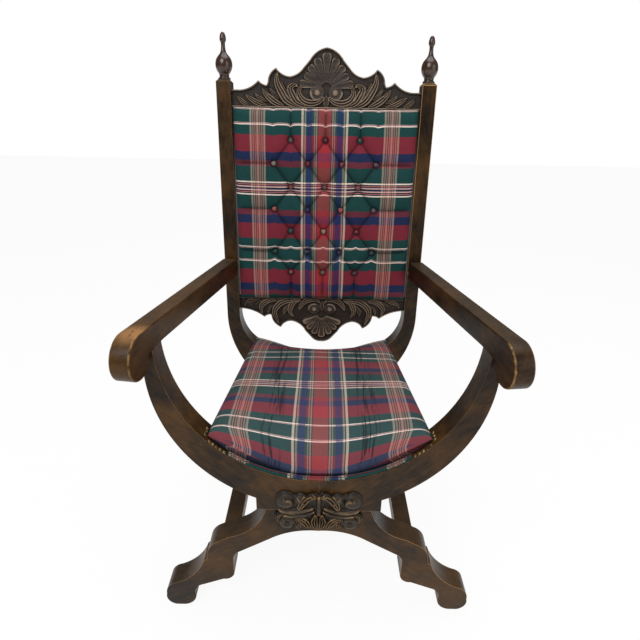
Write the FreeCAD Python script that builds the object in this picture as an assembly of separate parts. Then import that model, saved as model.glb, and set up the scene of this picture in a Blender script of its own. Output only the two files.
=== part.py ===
import FreeCAD, Part
import math
import os

os.makedirs("parts", exist_ok=True)
Vec = FreeCAD.Vector

# Throne-backed cross-frame armchair.  X is across the chair, Y runs from front to back,
# Z is up.  The origin lies on the floor under the middle of the chair's outer box.
# Heights stack up: legs, hub, arch, arm; and legs, hub, corner, rail, panel, post.

# Front frame: an upright crescent arch on two sawn legs
front_board = 48.0            # thickness of arch and legs, front to back
leg_height = 285.0
leg_reach = 326.0             # from the middle seam to the toe
leg_top_half_width = 104.0
hub_half_width = 122.0        # flat block under the arch
front_hub_height = 73.0       # from the legs up to the seat's lowest line
arch_inner_radius = 284.0
arch_throat = 70.0            # height of the arch's wood at its lowest point
arch_rise = 274.0             # from the seat's lowest line up to the arms
arch_horn_width = 17.5        # width of the arch under the arm

# Rear frame: drawn upright, then leaned back as one flat frame
rake_angle = 4.0
rear_board = 45.0
rear_foot_back = 462.0        # front faces of the two frames, apart at the floor
rear_hub_height = 54.0
rear_corner_rise = 141.0      # from the arch's bottom to where the posts start to curve in
rear_corner_radius = 109.0
rear_outer_radius = 253.0
post_inner_half = 221.0
post_width = 33.0
post_above_crest = 58.0
post_chamfer = 5.0
post_joint_drop = 38.0        # butt joint between post and rear arch, hidden behind the arm
sole_allowance = 6.0          # extra foot that is trimmed level with the floor

# Arms
arm_width = 34.0
arm_inset = 0.8               # how far the arms' inner faces stand inside the arch's
arm_gauge_back = 25.0         # where that is measured, behind the front face
arm_overhang = 74.0
arm_depth_front = 48.0
arm_depth_rear = 43.0
arm_fall = 40.0               # from the front of the arm to its rear
arm_nose_radius = 42.0
arm_scroll_radius = 36.0
arm_rounding = 3.0

# Side stretchers low down
stretcher_width = 36.0
stretcher_height = 28.0
stretcher_place_shares = (0.577, 0.526)   # of the leg's reach and height

# Back between the posts
lower_rail_rise = 47.0        # above the start of the rear arch's corner
lower_rail_drop = 125.0
lower_rail_board = 24.0
back_height = 469.0           # between the lower rail and the crest
crest_rise = 127.0
crest_board = 26.0
crest_set_back = 6.0
panel_gap = 3.0               # shadow gap between panel and posts
back_frame_width = 30.0
back_frame_board = 20.0
back_frame_set_back = 14.0
back_web_width = 45.0
back_web_thickness = 2.0
back_webs_up = 5
pad_edge = 12.0               # how far the pad's edge stands in front of the webbing
pad_crown = 20.0              # how much further its middle stands out
pad_corner_pull = 4.0
button_columns = 4
button_rows = 7
button_column_pitch = 81.5
button_row_pitch = 53.4
button_top_drop = 70.0        # top row of buttons under the crest
button_radius = 6.5
button_height = 6.0
button_sides = 12
tuft_radius = 17.0
tuft_depth = 9.0
outside_back_thickness = 2.0

# Finials on the posts
finial_height = 98.0
finial_disc_radius = 14.5
finial_ball_radius = 19.5
finial_tenon_radius = 5.0
finial_tenon_length = 16.0

# Seat
seat_half_front = 208.0       # half width where the cloth is nailed to the front arch
seat_half_rear = 184.0
seat_rail_thickness = 22.0
seat_rail_depth = 50.0
seat_web_width = 50.0
seat_web_thickness = 2.5
seat_webs = 5
seat_web_pitch = 80.0
seat_pad_middle = 92.0        # thickness over the webbing, in the middle
seat_pad_side = 17.0          # how far the pad stands above the rails
seat_pad_roll = 36.0          # width of the rolled edge over each rail
side_panel_thickness = 3.0
dust_cover_thickness = 1.2
dust_cover_drop = 20.0        # middle of the lining under the webbing
welt_radius = 2.6
welt_rows = 2
nail_radius = 4.2
nail_height = 2.6
nail_sides = 8
corner_nail_count = 5
turned_nail_count = 3
rear_nail_count = 4
side_nail_count = 22
nail_pitch = 8.8

# Carved boss in front of the hub
boss_half_width = 84.0
boss_half_height = 47.0
boss_thickness = 15.0
boss_lift = 1.0               # its middle above the top of the legs

# Dowels
dowel_radius = 5.0
dowel_length = 40.0
hub_dowel_places = (38.0, 80.0)
seam_dowel_share = 0.9        # of the leg's height
fit_gap = 0.15
soft_gap = 0.3
cut_overrun = 400.0

# Derived sizes
rake = math.radians(rake_angle)
arch_inner_bottom = leg_height + front_hub_height
arch_outer_bottom = arch_inner_bottom - arch_throat
arch_top = arch_inner_bottom + arch_rise
arch_inner_centre = arch_inner_bottom + arch_inner_radius
arch_inner_top = math.sqrt(arch_inner_radius ** 2 - (arch_top - arch_inner_centre) ** 2)
arch_outer_top = arch_inner_top + arch_horn_width
arch_outer_rise = arch_top - arch_outer_bottom
arch_outer_radius = (arch_outer_top ** 2 + arch_outer_rise ** 2) / (2 * arch_outer_rise)
arch_outer_centre = arch_outer_bottom + arch_outer_radius
arm_front_inner = arch_inner_top - arm_inset
arm_top_front = arch_top + arm_depth_front
arm_top_rear = arm_top_front - arm_fall
post_joint = arm_top_rear - post_joint_drop
rear_inner_bottom = leg_height + rear_hub_height
rear_corner_height = rear_inner_bottom + rear_corner_rise
lower_rail_top = rear_corner_height + lower_rail_rise
crest_bottom = lower_rail_top + back_height
post_top = crest_bottom + post_above_crest
post_outer_half = post_inner_half + post_width
post_middle = post_inner_half + post_width / 2
rear_most = rear_foot_back + (post_top - post_chamfer) * math.sin(rake) + rear_board * math.cos(rake)
arm_splay = math.atan2(arm_front_inner - post_inner_half,
                       rear_foot_back + arm_top_rear * math.tan(rake) - arm_gauge_back)
arm_reach = ((arm_overhang + arm_gauge_back) * math.cos(arm_splay) - arm_gauge_back
             - arm_rounding * (math.sin(arm_splay) + math.cos(arm_splay) - 1))
front_face = -(rear_most - arm_reach) / 2
pad_front_margin = 2 * welt_rows * (welt_radius + fit_gap)
pad_half_width = post_inner_half - panel_gap
pad_bottom = lower_rail_top + soft_gap
pad_top = crest_bottom - soft_gap
welt_path_radius = arch_inner_radius - welt_radius - soft_gap


def point(x, z):
    return Vec(x, 0, z)


def drawn_face(start, steps):
    """A face in the XZ plane: a step is an end point, or the middle and end of an arc."""
    edges = []
    here = start
    for step in steps:
        if isinstance(step[0], tuple):
            middle, there = step
            edges.append(Part.Arc(point(*here), point(*middle), point(*there)).toShape())
        else:
            there = step
            edges.append(Part.makeLine(point(*here), point(*there)))
        here = there
    if math.dist(here, start) > fit_gap / 100:
        edges.append(Part.makeLine(point(*here), point(*start)))
    return Part.Face(Part.Wire(edges))


def scaled_steps(shares, width, height, level=0.0):
    """Turns a table of shares into steps, x by width and z by height above a level."""
    def place(share):
        return (share[0] * width, level + share[1] * height)
    steps = []
    for entry in shares:
        if isinstance(entry[0], tuple):
            steps.append((place(entry[0]), place(entry[1])))
        else:
            steps.append(place(entry))
    return steps


def on_ring(centre, radius, turn):
    """Place on a circle, the turn measured from its lowest point towards +X."""
    return centre[0] + radius * math.sin(turn), centre[1] - radius * math.cos(turn)


def ring_step(centre, radius, first_turn, last_turn):
    """The step that follows a circle from one turn to another."""
    return on_ring(centre, radius, (first_turn + last_turn) / 2), on_ring(centre, radius, last_turn)


def board(face, thickness, depth=0.0):
    """A board sawn to a drawn face, its front at a given depth."""
    solid = face.extrude(Vec(0, thickness, 0))
    solid.translate(Vec(0, depth, 0))
    return solid


def mirrored(shape):
    return shape.mirror(Vec(0, 0, 0), Vec(1, 0, 0))


def both_sides(shapes):
    """The shapes and their mirror images as one group of solids."""
    group = Part.makeCompound(shapes)
    return Part.makeCompound(group.Solids + mirrored(group).Solids)


def on_circle(x, centre_height, radius):
    """Height of the lower half of a circle at x."""
    return centre_height - math.sqrt(radius ** 2 - x ** 2)


def lean(shape):
    """Takes a shape drawn upright into the raked plane of the rear frame."""
    leaned = shape.copy()
    leaned.rotate(Vec(0, 0, 0), Vec(1, 0, 0), -rake_angle)
    leaned.translate(Vec(0, rear_foot_back, 0))
    return leaned


def behind_rear_plane():
    """Everything behind the front plane of the rear frame."""
    block = Part.makeBox(2 * cut_overrun, cut_overrun, 2 * post_top,
                         Vec(-cut_overrun, 0, -post_top / 2))
    return lean(block)


def floor_trim(shape):
    below = Part.makeBox(2 * cut_overrun, 4 * cut_overrun, cut_overrun,
                         Vec(-cut_overrun, -cut_overrun, -cut_overrun))
    return shape.cut(below)


# Front arch, one sawn half on each side of the middle seam
def front_arch_half():
    inner = (0, arch_inner_centre)
    outer = (0, arch_outer_centre)
    outer_turn = math.atan2(arch_outer_top, arch_outer_centre - arch_top)
    hub_turn = math.asin(hub_half_width / arch_outer_radius)
    face = drawn_face((0, arch_inner_bottom), [
        ring_step(inner, arch_inner_radius, 0, math.atan2(arch_inner_top, arch_inner_centre - arch_top)),
        (arch_outer_top, arch_top),
        ring_step(outer, arch_outer_radius, outer_turn, hub_turn),
        (hub_half_width, leg_height),
        (0, leg_height),
    ])
    return board(face, front_board)


# Sawn leg: shares of the reach and of the leg's height, from the shoulder round to the seam
sole_shares = (0.885, 0.945)
leg_outline_shares = [
    ((0.387, 0.840), (0.552, 0.726)),
    (0.620, 0.680),
    ((0.683, 0.618), (0.702, 0.535)),
    (0.708, 0.495),
    (0.730, 0.477),
    ((0.800, 0.340), (0.920, 0.242)),
    ((0.978, 0.200), (1.000, 0.115)),
    ((0.990, 0.035), (sole_shares[1], 0.000)),
    (sole_shares[0], 0.000),
    ((0.822, 0.045), (0.808, 0.130)),
    ((0.790, 0.198), (0.748, 0.228)),
    (0.612, 0.292),
    ((0.552, 0.320), (0.540, 0.390)),
    (0.538, 0.512),
    ((0.523, 0.556), (0.492, 0.584)),
    (0.307, 0.712),
    ((0.185, 0.780), (0.000, 0.803)),
]


def leg_half(thickness, extra_sole=0.0):
    """One leg; extra wood under the toe is for a frame that leans and is trimmed later."""
    steps = [(leg_top_half_width, leg_height)] + scaled_steps(leg_outline_shares, leg_reach, leg_height)
    leg = board(drawn_face((0, leg_height), steps), thickness)
    if extra_sole:
        heel, toe = [share * leg_reach for share in sole_shares]
        sole = Part.makeBox(toe - heel, thickness, 2 * extra_sole, Vec(heel, 0, -extra_sole))
        leg = leg.fuse(sole).removeSplitter()
    return leg


# Rear arch half: a straight stem, a tight corner and a flat sagging run to the seam
def rear_run_radius():
    """Radius of the bottom run that is tangent to the corner circles."""
    offset = post_inner_half - rear_corner_radius
    return ((offset ** 2 + rear_corner_rise ** 2 - rear_corner_radius ** 2)
            / (2 * (rear_corner_rise - rear_corner_radius)))


def rear_arch_half():
    run_centre = (0, rear_inner_bottom + rear_run_radius())
    corner_centre = (post_inner_half - rear_corner_radius, rear_corner_height)
    outer_centre = (post_outer_half - rear_outer_radius, rear_corner_height)
    join_turn = math.atan2(corner_centre[0], run_centre[1] - rear_corner_height)
    quarter = math.pi / 2
    foot_turn = math.acos((rear_corner_height - leg_height) / rear_outer_radius)
    face = drawn_face((0, rear_inner_bottom), [
        ring_step(run_centre, rear_run_radius(), 0, join_turn),
        ring_step(corner_centre, rear_corner_radius, join_turn, quarter),
        (post_inner_half, post_joint),
        (post_outer_half, post_joint),
        (post_outer_half, rear_corner_height),
        ring_step(outer_centre, rear_outer_radius, quarter, foot_turn),
        (0, leg_height),
    ])
    return board(face, rear_board)


def rear_post_half():
    post = Part.makeBox(post_width, rear_board, post_top - post_joint,
                        Vec(post_inner_half, 0, post_joint))
    top_edges = [edge for edge in post.Edges
                 if abs(edge.BoundBox.ZMin - post_top) < fit_gap
                 and abs(edge.BoundBox.ZMax - post_top) < fit_gap]
    return post.makeChamfer(post_chamfer, top_edges)


# Arm: a sloping board whose front end drops in a scroll
def arm_half():
    rear_end = rear_foot_back + arm_width
    top_turn = math.atan2(arm_fall, rear_foot_back)
    nose_centre = (arm_nose_radius - arm_overhang, arm_top_front - arm_nose_radius)
    nose_start = (nose_centre[0] + arm_nose_radius * math.sin(top_turn),
                  nose_centre[1] + arm_nose_radius * math.cos(top_turn))
    rear_top = nose_start[1] - (rear_end - nose_start[0]) * math.tan(top_turn)
    half_turn = (math.radians(90) - top_turn) / 2
    nose_middle = (nose_centre[0] - arm_nose_radius * math.sin(half_turn),
                   nose_centre[1] + arm_nose_radius * math.cos(half_turn))
    scroll_middle = (arm_scroll_radius - arm_overhang, nose_centre[1] - arm_scroll_radius)
    scroll_end = scroll_middle[0] + math.sqrt(arm_scroll_radius ** 2 - (nose_centre[1] - arch_top) ** 2)
    profile = drawn_face((rear_end, rear_top), [
        nose_start,
        (nose_middle, (-arm_overhang, nose_centre[1])),
        (scroll_middle, (scroll_end, arch_top)),
        (front_board, arch_top),
        (rear_end, rear_top - arm_depth_rear),
    ])
    solid = profile.extrude(Vec(0, -arm_width, 0))
    long_edges = [edge for edge in solid.Edges
                  if edge.BoundBox.YLength < fit_gap and edge.BoundBox.XLength > fit_gap
                  and edge.BoundBox.ZMax > arm_top_rear - arm_rounding
                  and edge.BoundBox.ZMin > arch_top + fit_gap]
    solid = solid.makeFillet(arm_rounding, long_edges)
    # the profile's own X becomes the chair's Y, and its thickness runs outwards
    solid.rotate(Vec(0, 0, 0), Vec(0, 0, 1), 90)
    solid.translate(Vec(arm_front_inner, -arm_gauge_back, 0))
    solid.rotate(Vec(arm_front_inner, 0, 0), Vec(0, 0, 1), math.degrees(arm_splay))
    solid.translate(Vec(0, arm_gauge_back, 0))
    return solid.cut(behind_rear_plane())


# Crest and lower rail: half outlines in shares of the half width and of the rise or drop
crest_outline_shares = [
    (1.000, 0.290),
    (0.905, 0.290),
    ((0.805, 0.335), (0.715, 0.450)),
    ((0.670, 0.395), (0.612, 0.370)),
    ((0.590, 0.560), (0.525, 0.660)),
    ((0.462, 0.565), (0.385, 0.525)),
    ((0.318, 0.560), (0.240, 0.675)),
    (0.175, 0.800),
    ((0.096, 0.940), (0.000, 1.000)),
]
lower_outline_shares = [
    (1.000, -0.255),
    ((0.840, -0.310), (0.703, -0.448)),
    ((0.662, -0.400), (0.620, -0.392)),
    ((0.590, -0.555), (0.502, -0.680)),
    ((0.450, -0.570), (0.370, -0.530)),
    ((0.270, -0.605), (0.200, -0.755)),
    (0.120, -0.915),
    ((0.062, -0.985), (0.000, -1.000)),
]


def carved_rail(shares, height, level, thickness):
    """A rail between the posts whose other edge follows a half outline, mirrored."""
    half_width = post_inner_half - fit_gap
    steps = [(half_width, level)] + scaled_steps(shares, half_width, height, level)
    half = board(drawn_face((0, level), steps), thickness, crest_set_back)
    return lean(half.fuse(mirrored(half)).removeSplitter())


boss_outline_shares = [
    (0.000, 0.900),
    ((0.150, 1.000), (0.290, 0.840)),
    ((0.430, 0.960), (0.560, 0.800)),
    ((0.850, 1.020), (1.000, 0.520)),
    ((0.960, 0.160), (0.830, 0.000)),
    ((1.030, -0.260), (0.950, -0.660)),
    ((0.760, -0.980), (0.590, -0.800)),
    ((0.430, -0.990), (0.280, -0.830)),
    ((0.120, -0.960), (0.000, -1.000)),
]


def boss():
    steps = scaled_steps(boss_outline_shares, boss_half_width, boss_half_height, leg_height + boss_lift)
    half = board(drawn_face(steps[0], steps[1:]), boss_thickness, -boss_thickness)
    return half.fuse(mirrored(half)).removeSplitter()


# Finial: a turned profile in shares of the ball's radius and of the finial's height
finial_neck_shares = [(0.744, 0.041), (0.590, 0.051), (0.590, 0.133)]
finial_spire_shares = [
    ((1.000, 0.347), (0.490, 0.543)),
    ((0.290, 0.610), (0.236, 0.790)),
    ((0.380, 0.870), (0.300, 0.960)),
    (0.000, 1.000),
]


def finial():
    steps = [(finial_tenon_radius, -finial_tenon_length),
             (finial_tenon_radius, 0),
             (finial_disc_radius, 0),
             (finial_disc_radius, finial_neck_shares[0][1] * finial_height)]
    steps += scaled_steps(finial_neck_shares[1:] + finial_spire_shares, finial_ball_radius, finial_height)
    profile = drawn_face((0, -finial_tenon_length), steps)
    solid = profile.revolve(Vec(0, 0, 0), Vec(0, 0, 1), 360)
    solid.translate(Vec(post_middle, rear_board / 2, post_top))
    return lean(solid)


# Seat: every cross-section is an arc hung between the side rails
rear_run = rear_foot_back + (rear_inner_bottom + rear_corner_radius / 2) * math.tan(rake)
seat_back = rear_run + rear_board


def seat_section(depth):
    """Half width, edge height and middle height of the hung arc at a depth."""
    half = seat_half_front + (seat_half_rear - seat_half_front) * depth / rear_run
    share = (depth - front_board) / (rear_run - front_board)
    front_edge = on_circle(seat_half_front, arch_inner_centre, arch_inner_radius)
    rear_edge = on_circle(seat_half_rear, rear_inner_bottom + rear_run_radius(), rear_run_radius())
    edge = front_edge + (rear_edge - front_edge) * share
    middle = arch_inner_bottom + (rear_inner_bottom - arch_inner_bottom) * share
    return half, edge, middle


def rail_half(depth):
    return seat_section(depth)[0]


def hung_height(depth, x):
    """Height of the hung arc at a place across the seat."""
    half, edge, middle = seat_section(depth)
    sag = edge - middle
    radius = (half ** 2 + sag ** 2) / (2 * sag)
    return on_circle(x, middle + radius, radius)


# Shares of the run from front to back, and of the pad's full thickness there
seat_pad_shares = [(0.000, 0.10), (0.032, 0.80), (0.100, 0.93), (0.240, 0.99), (0.379, 1.00),
                   (0.560, 0.98), (0.735, 0.90), (0.850, 0.66), (0.934, 0.33), (1.000, 0.12)]
roll_bulge_share = 0.2        # of the roll's own width and height


def pad_section(depth, full_share):
    """The hung arc below, a rolled edge over each rail, and an even top."""
    half = rail_half(depth) - soft_gap
    low = hung_height(depth, half) + soft_gap
    lift = seat_pad_side * full_share
    roll = seat_pad_roll * full_share
    bulge_x = half - roll / 2 + lift * roll_bulge_share
    bulge_z = low + lift / 2 + roll * roll_bulge_share
    top = half - roll
    middle = Vec(0, depth, hung_height(depth, 0) + soft_gap)
    crown = middle + Vec(0, 0, seat_pad_middle * full_share)

    def side(sign):
        return (Vec(sign * half, depth, low), Vec(sign * bulge_x, depth, bulge_z),
                Vec(sign * top, depth, low + lift))
    left, right = side(-1), side(1)
    return Part.Wire([
        Part.Arc(left[0], middle, right[0]).toShape(),
        Part.Arc(*right).toShape(),
        Part.Arc(right[2], crown, left[2]).toShape(),
        Part.Arc(*reversed(left)).toShape(),
    ])


def seat_pad():
    sections = []
    run = seat_back - 2 * pad_front_margin
    for run_share, full_share in seat_pad_shares:
        sections.append(pad_section(pad_front_margin + run_share * run, full_share))
    return Part.makeLoft(sections, True, True)


def lofted_bars(depths, corners_at):
    """A straight bar whose corners are given at its two ends, cut back to the rear frame."""
    wires = []
    for depth in depths:
        corners = [Vec(x, depth, z) for x, z in corners_at(depth)]
        wires.append(Part.makePolygon(corners + corners[:1]))
    return Part.makeLoft(wires, True, True).cut(behind_rear_plane())


def rail_top(depth, x):
    return hung_height(depth, x) - seat_web_thickness - soft_gap


def side_rail():
    """Sloping-topped rail from the front arch to the rear frame."""
    def corners(depth):
        half = rail_half(depth)
        inner = half - seat_rail_thickness
        low = rail_top(depth, half) - seat_rail_depth
        return [(half, rail_top(depth, half)), (inner, rail_top(depth, inner)), (inner, low), (half, low)]
    return lofted_bars((front_board, rear_run + rear_board), corners)


def side_panel():
    """Cover drawn down over the outside of the rail."""
    def corners(depth):
        half = rail_half(depth) + soft_gap
        outer = half + side_panel_thickness
        high = hung_height(depth, half) + soft_gap
        low = high - seat_rail_depth
        return [(half, high), (half, low), (outer, low), (outer, high)]
    return lofted_bars((front_board + soft_gap, rear_run + rear_board), corners)


def seat_webbing():
    straps = []
    first = (rear_run + front_board) / 2 - seat_web_pitch * (seat_webs - 1) / 2
    for index in range(seat_webs):
        middle = first + index * seat_web_pitch
        wires = []
        for depth in (middle - seat_web_width / 2, middle + seat_web_width / 2):
            half = rail_half(depth) - soft_gap
            upper = [Vec(x, depth, hung_height(depth, half if x else 0)) for x in (-half, 0, half)]
            lower = [spot - Vec(0, 0, seat_web_thickness) for spot in upper]
            wires.append(curved_band(upper, lower))
        straps.append(Part.makeLoft(wires, True, True))
    return Part.makeCompound(straps)


def curved_band(upper, lower):
    """A closed section between two arcs, each given by its ends and its middle."""
    return Part.Wire([
        Part.Arc(*upper).toShape(),
        Part.makeLine(upper[2], lower[2]),
        Part.Arc(lower[2], lower[1], lower[0]).toShape(),
        Part.makeLine(lower[0], upper[0]),
    ])


def dust_cover():
    """Lining that hangs between the undersides of the rails."""
    wires = []
    rear_end = rear_foot_back + (rear_inner_bottom - dust_cover_drop) * math.tan(rake)
    for depth in (front_board + soft_gap, rear_end - soft_gap):
        half = rail_half(depth) - seat_rail_thickness - soft_gap
        edge = rail_top(depth, rail_half(depth)) - seat_rail_depth
        low = hung_height(depth, 0) - dust_cover_drop
        upper = [Vec(-half, depth, edge), Vec(0, depth, low), Vec(half, depth, edge)]
        lower = [spot - Vec(0, 0, dust_cover_thickness) for spot in upper]
        wires.append(curved_band(upper, lower))
    return Part.makeLoft(wires, True, True)


# Nails: the front rows turn the corner, and the welts run between their last nails
corner_turn = math.asin((seat_half_front - nail_radius) / arch_inner_radius)
last_nail_turn = corner_turn - (corner_nail_count - 1) * nail_pitch / arch_inner_radius
welt_turn = last_nail_turn - (nail_radius + soft_gap) / arch_inner_radius


def welt(row):
    """A round cord of cloth bent along the arch's edge."""
    depth = welt_radius * (1 + 2 * row) + row * fit_gap
    centre = Vec(0, depth, arch_inner_centre)
    disc = Part.Face(Part.Wire(Part.makeCircle(welt_radius, centre - Vec(0, 0, welt_path_radius), Vec(1, 0, 0))))
    disc.rotate(centre, Vec(0, 1, 0), -math.degrees(welt_turn))
    return disc.revolve(centre, Vec(0, 1, 0), 2 * math.degrees(welt_turn))


def ring_of(radius, height, sides):
    """A closed polygon about the Z axis."""
    turns = [2 * math.pi * index / sides for index in range(sides)]
    spots = [Vec(radius * math.cos(turn), radius * math.sin(turn), height) for turn in turns]
    return Part.makePolygon(spots + spots[:1])


# A dome's profile: shares of its radius and of its height
dome_shares = [(1.00, 0.00), (0.72, 0.68)]


def dome(radius, height, sides):
    rings = [ring_of(across * radius, up * height, sides) for across, up in dome_shares]
    return Part.makeLoft(rings + [Part.Vertex(0, 0, height)], True, True)


def seated(shape, place, outward):
    """Stands a shape that was made about Z on a place, facing outward."""
    placement = FreeCAD.Placement(place + outward * fit_gap, FreeCAD.Rotation(Vec(0, 0, 1), outward))
    return shape.transformed(placement.toMatrix())


def nail(place, outward):
    return seated(dome(nail_radius, nail_height, nail_sides), place, outward)


def nails_on_curve(count, first_turn, radius, centre_height, depth):
    """A row of nails that follows the inside of an arch from near an edge inwards."""
    nails = []
    for index in range(count):
        turn = first_turn - index * nail_pitch / radius
        inward = Vec(-math.sin(turn), 0, math.cos(turn))
        nails.append(nail(Vec(0, depth, centre_height) - inward * radius, inward))
    return nails


def front_nails():
    nails = nails_on_curve(corner_nail_count, corner_turn, arch_inner_radius, arch_inner_centre,
                           nail_radius + fit_gap)
    for index in range(turned_nail_count):
        depth = nail_radius + fit_gap + (index + 1) * nail_pitch
        beyond = math.asin((seat_half_front + nail_radius) / arch_inner_radius)
        nails += nails_on_curve(1, beyond, arch_inner_radius, arch_inner_centre, depth)
    return both_sides(nails)


def rear_nail_row():
    first_turn = math.asin((seat_half_rear - 2 * nail_pitch) / rear_run_radius())
    nails = nails_on_curve(rear_nail_count, first_turn, rear_run_radius(),
                           rear_inner_bottom + rear_run_radius(), rear_board - nail_radius - fit_gap)
    return lean(both_sides(nails))


def side_panel_nails():
    """Nails along the lower edge of each side panel."""
    nails = []
    first = front_board + nail_pitch
    pitch = (rear_run - front_board - 2 * nail_pitch) / (side_nail_count - 1)
    for index in range(side_nail_count):
        depth = first + index * pitch
        half = rail_half(depth) + soft_gap
        low = hung_height(depth, half) - seat_rail_depth + nail_radius + 2 * soft_gap
        nails.append(nail(Vec(half + side_panel_thickness, depth, low), Vec(1, 0, 0)))
    return both_sides(nails)


# Back: a light frame held between crest, lower rail and posts
def back_stile():
    return lean(Part.makeBox(back_frame_width, back_frame_board, back_height - 2 * fit_gap,
                             Vec(pad_half_width - back_frame_width, back_frame_set_back,
                                 lower_rail_top + fit_gap)))


def back_cross_rail(level):
    half = pad_half_width - back_frame_width - fit_gap
    return lean(Part.makeBox(2 * half, back_frame_board, back_frame_width,
                             Vec(-half, back_frame_set_back, level)))


def back_webbing():
    front = back_frame_set_back - back_web_thickness - fit_gap
    half = pad_half_width - back_frame_width / 2
    straps = []
    for index in range(1, back_webs_up + 1):
        level = lower_rail_top + back_height * index / (back_webs_up + 1) - back_web_width / 2
        straps.append(Part.makeBox(2 * half, back_web_thickness, back_web_width, Vec(-half, front, level)))
    return lean(Part.makeCompound(straps))


def button_places():
    """Rows of three and four by turns, the second kind set half a pitch out."""
    places = []
    for row in range(button_rows):
        count = button_columns - 1 + row % 2
        level = crest_bottom - button_top_drop - row * button_row_pitch
        for column in range(count):
            places.append(((column - (count - 1) / 2) * button_column_pitch, level))
    return places


pad_back = back_frame_set_back - back_web_thickness - fit_gap - soft_gap
pad_station_shares = [(0.00, 0.20), (0.05, 0.45), (0.14, 0.72), (0.30, 0.93), (0.50, 1.00),
                      (0.70, 0.93), (0.86, 0.72), (0.95, 0.45), (1.00, 0.20)]


def crowned_pad():
    """The pad before it is tied down: a crowned front and drawn-in sides."""
    wires = []
    for height_share, crown_share in pad_station_shares:
        level = pad_bottom + height_share * (pad_top - pad_bottom)
        half = pad_half_width - pad_corner_pull * (1 - crown_share)
        edge = pad_back - pad_edge * (1 + crown_share) / 2
        middle = edge - pad_crown * crown_share
        wires.append(Part.Wire([
            Part.makeLine(Vec(-half, pad_back, level), Vec(half, pad_back, level)),
            Part.makeLine(Vec(half, pad_back, level), Vec(half, edge, level)),
            Part.Arc(Vec(half, edge, level), Vec(0, middle, level), Vec(-half, edge, level)).toShape(),
            Part.makeLine(Vec(-half, edge, level), Vec(-half, pad_back, level)),
        ]))
    return Part.makeLoft(wires, True, True)


def front_of(solid, x, z):
    """Depth at which a line from the front first meets a solid."""
    line = Part.makeLine(Vec(x, -cut_overrun, z), Vec(x, pad_back, z))
    return solid.common(line).BoundBox.YMin


def tufted_pad(pad):
    for x, z in button_places():
        bottom = front_of(pad, x, z) + tuft_depth
        pad = pad.cut(Part.makeSphere(tuft_radius, Vec(x, bottom - tuft_radius, z)))
    return lean(pad)


def tuft_buttons(pad):
    rim_rise = tuft_radius - math.sqrt(tuft_radius ** 2 - button_radius ** 2)
    cap = dome(button_radius, button_height, button_sides)
    buttons = [seated(cap, Vec(x, front_of(pad, x, z) + tuft_depth - rim_rise, z), Vec(0, -1, 0))
               for x, z in button_places()]
    return lean(Part.makeCompound(buttons))


def outside_back():
    """Lining drawn over the rear of the back frame."""
    half = pad_half_width - fit_gap
    behind = back_frame_set_back + back_frame_board + fit_gap
    return lean(Part.makeBox(2 * half, outside_back_thickness, back_height - 2 * fit_gap,
                             Vec(-half, behind, lower_rail_top + fit_gap)))


# Dowels: each is drilled through the named boards with a small fit gap
def drilled(parts, names, middle, direction, leaned=False):
    """Drills the named boards and returns the dowel, centred on its joint."""
    start = middle - direction * dowel_length / 2
    hole = Part.makeCylinder(dowel_radius + fit_gap, dowel_length + 2 * fit_gap,
                             start - direction * fit_gap, direction)
    pin = Part.makeCylinder(dowel_radius, dowel_length, start, direction)
    if leaned:
        hole, pin = lean(hole), lean(pin)
    for name in names:
        parts[name] = parts[name].cut(hole)
    return pin


def hub_dowels(parts, frame_name, depth, seam_level, leaned):
    """Dowels across the middle seam and down from the arch into both legs."""
    arch = [frame_name + "_arch_left", frame_name + "_arch_right"]
    legs = [frame_name + "_leg_left", frame_name + "_leg_right"]
    across = Vec(1, 0, 0)
    pins = [drilled(parts, arch, Vec(0, depth, seam_level), across, leaned),
            drilled(parts, legs, Vec(0, depth, seam_dowel_share * leg_height), across, leaned)]
    for x in hub_dowel_places:
        for side, arch_name, leg_name in zip((-1, 1), arch, legs):
            pins.append(drilled(parts, [arch_name, leg_name], Vec(side * x, depth, leg_height),
                                Vec(0, 0, 1), leaned))
    return pins


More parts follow.
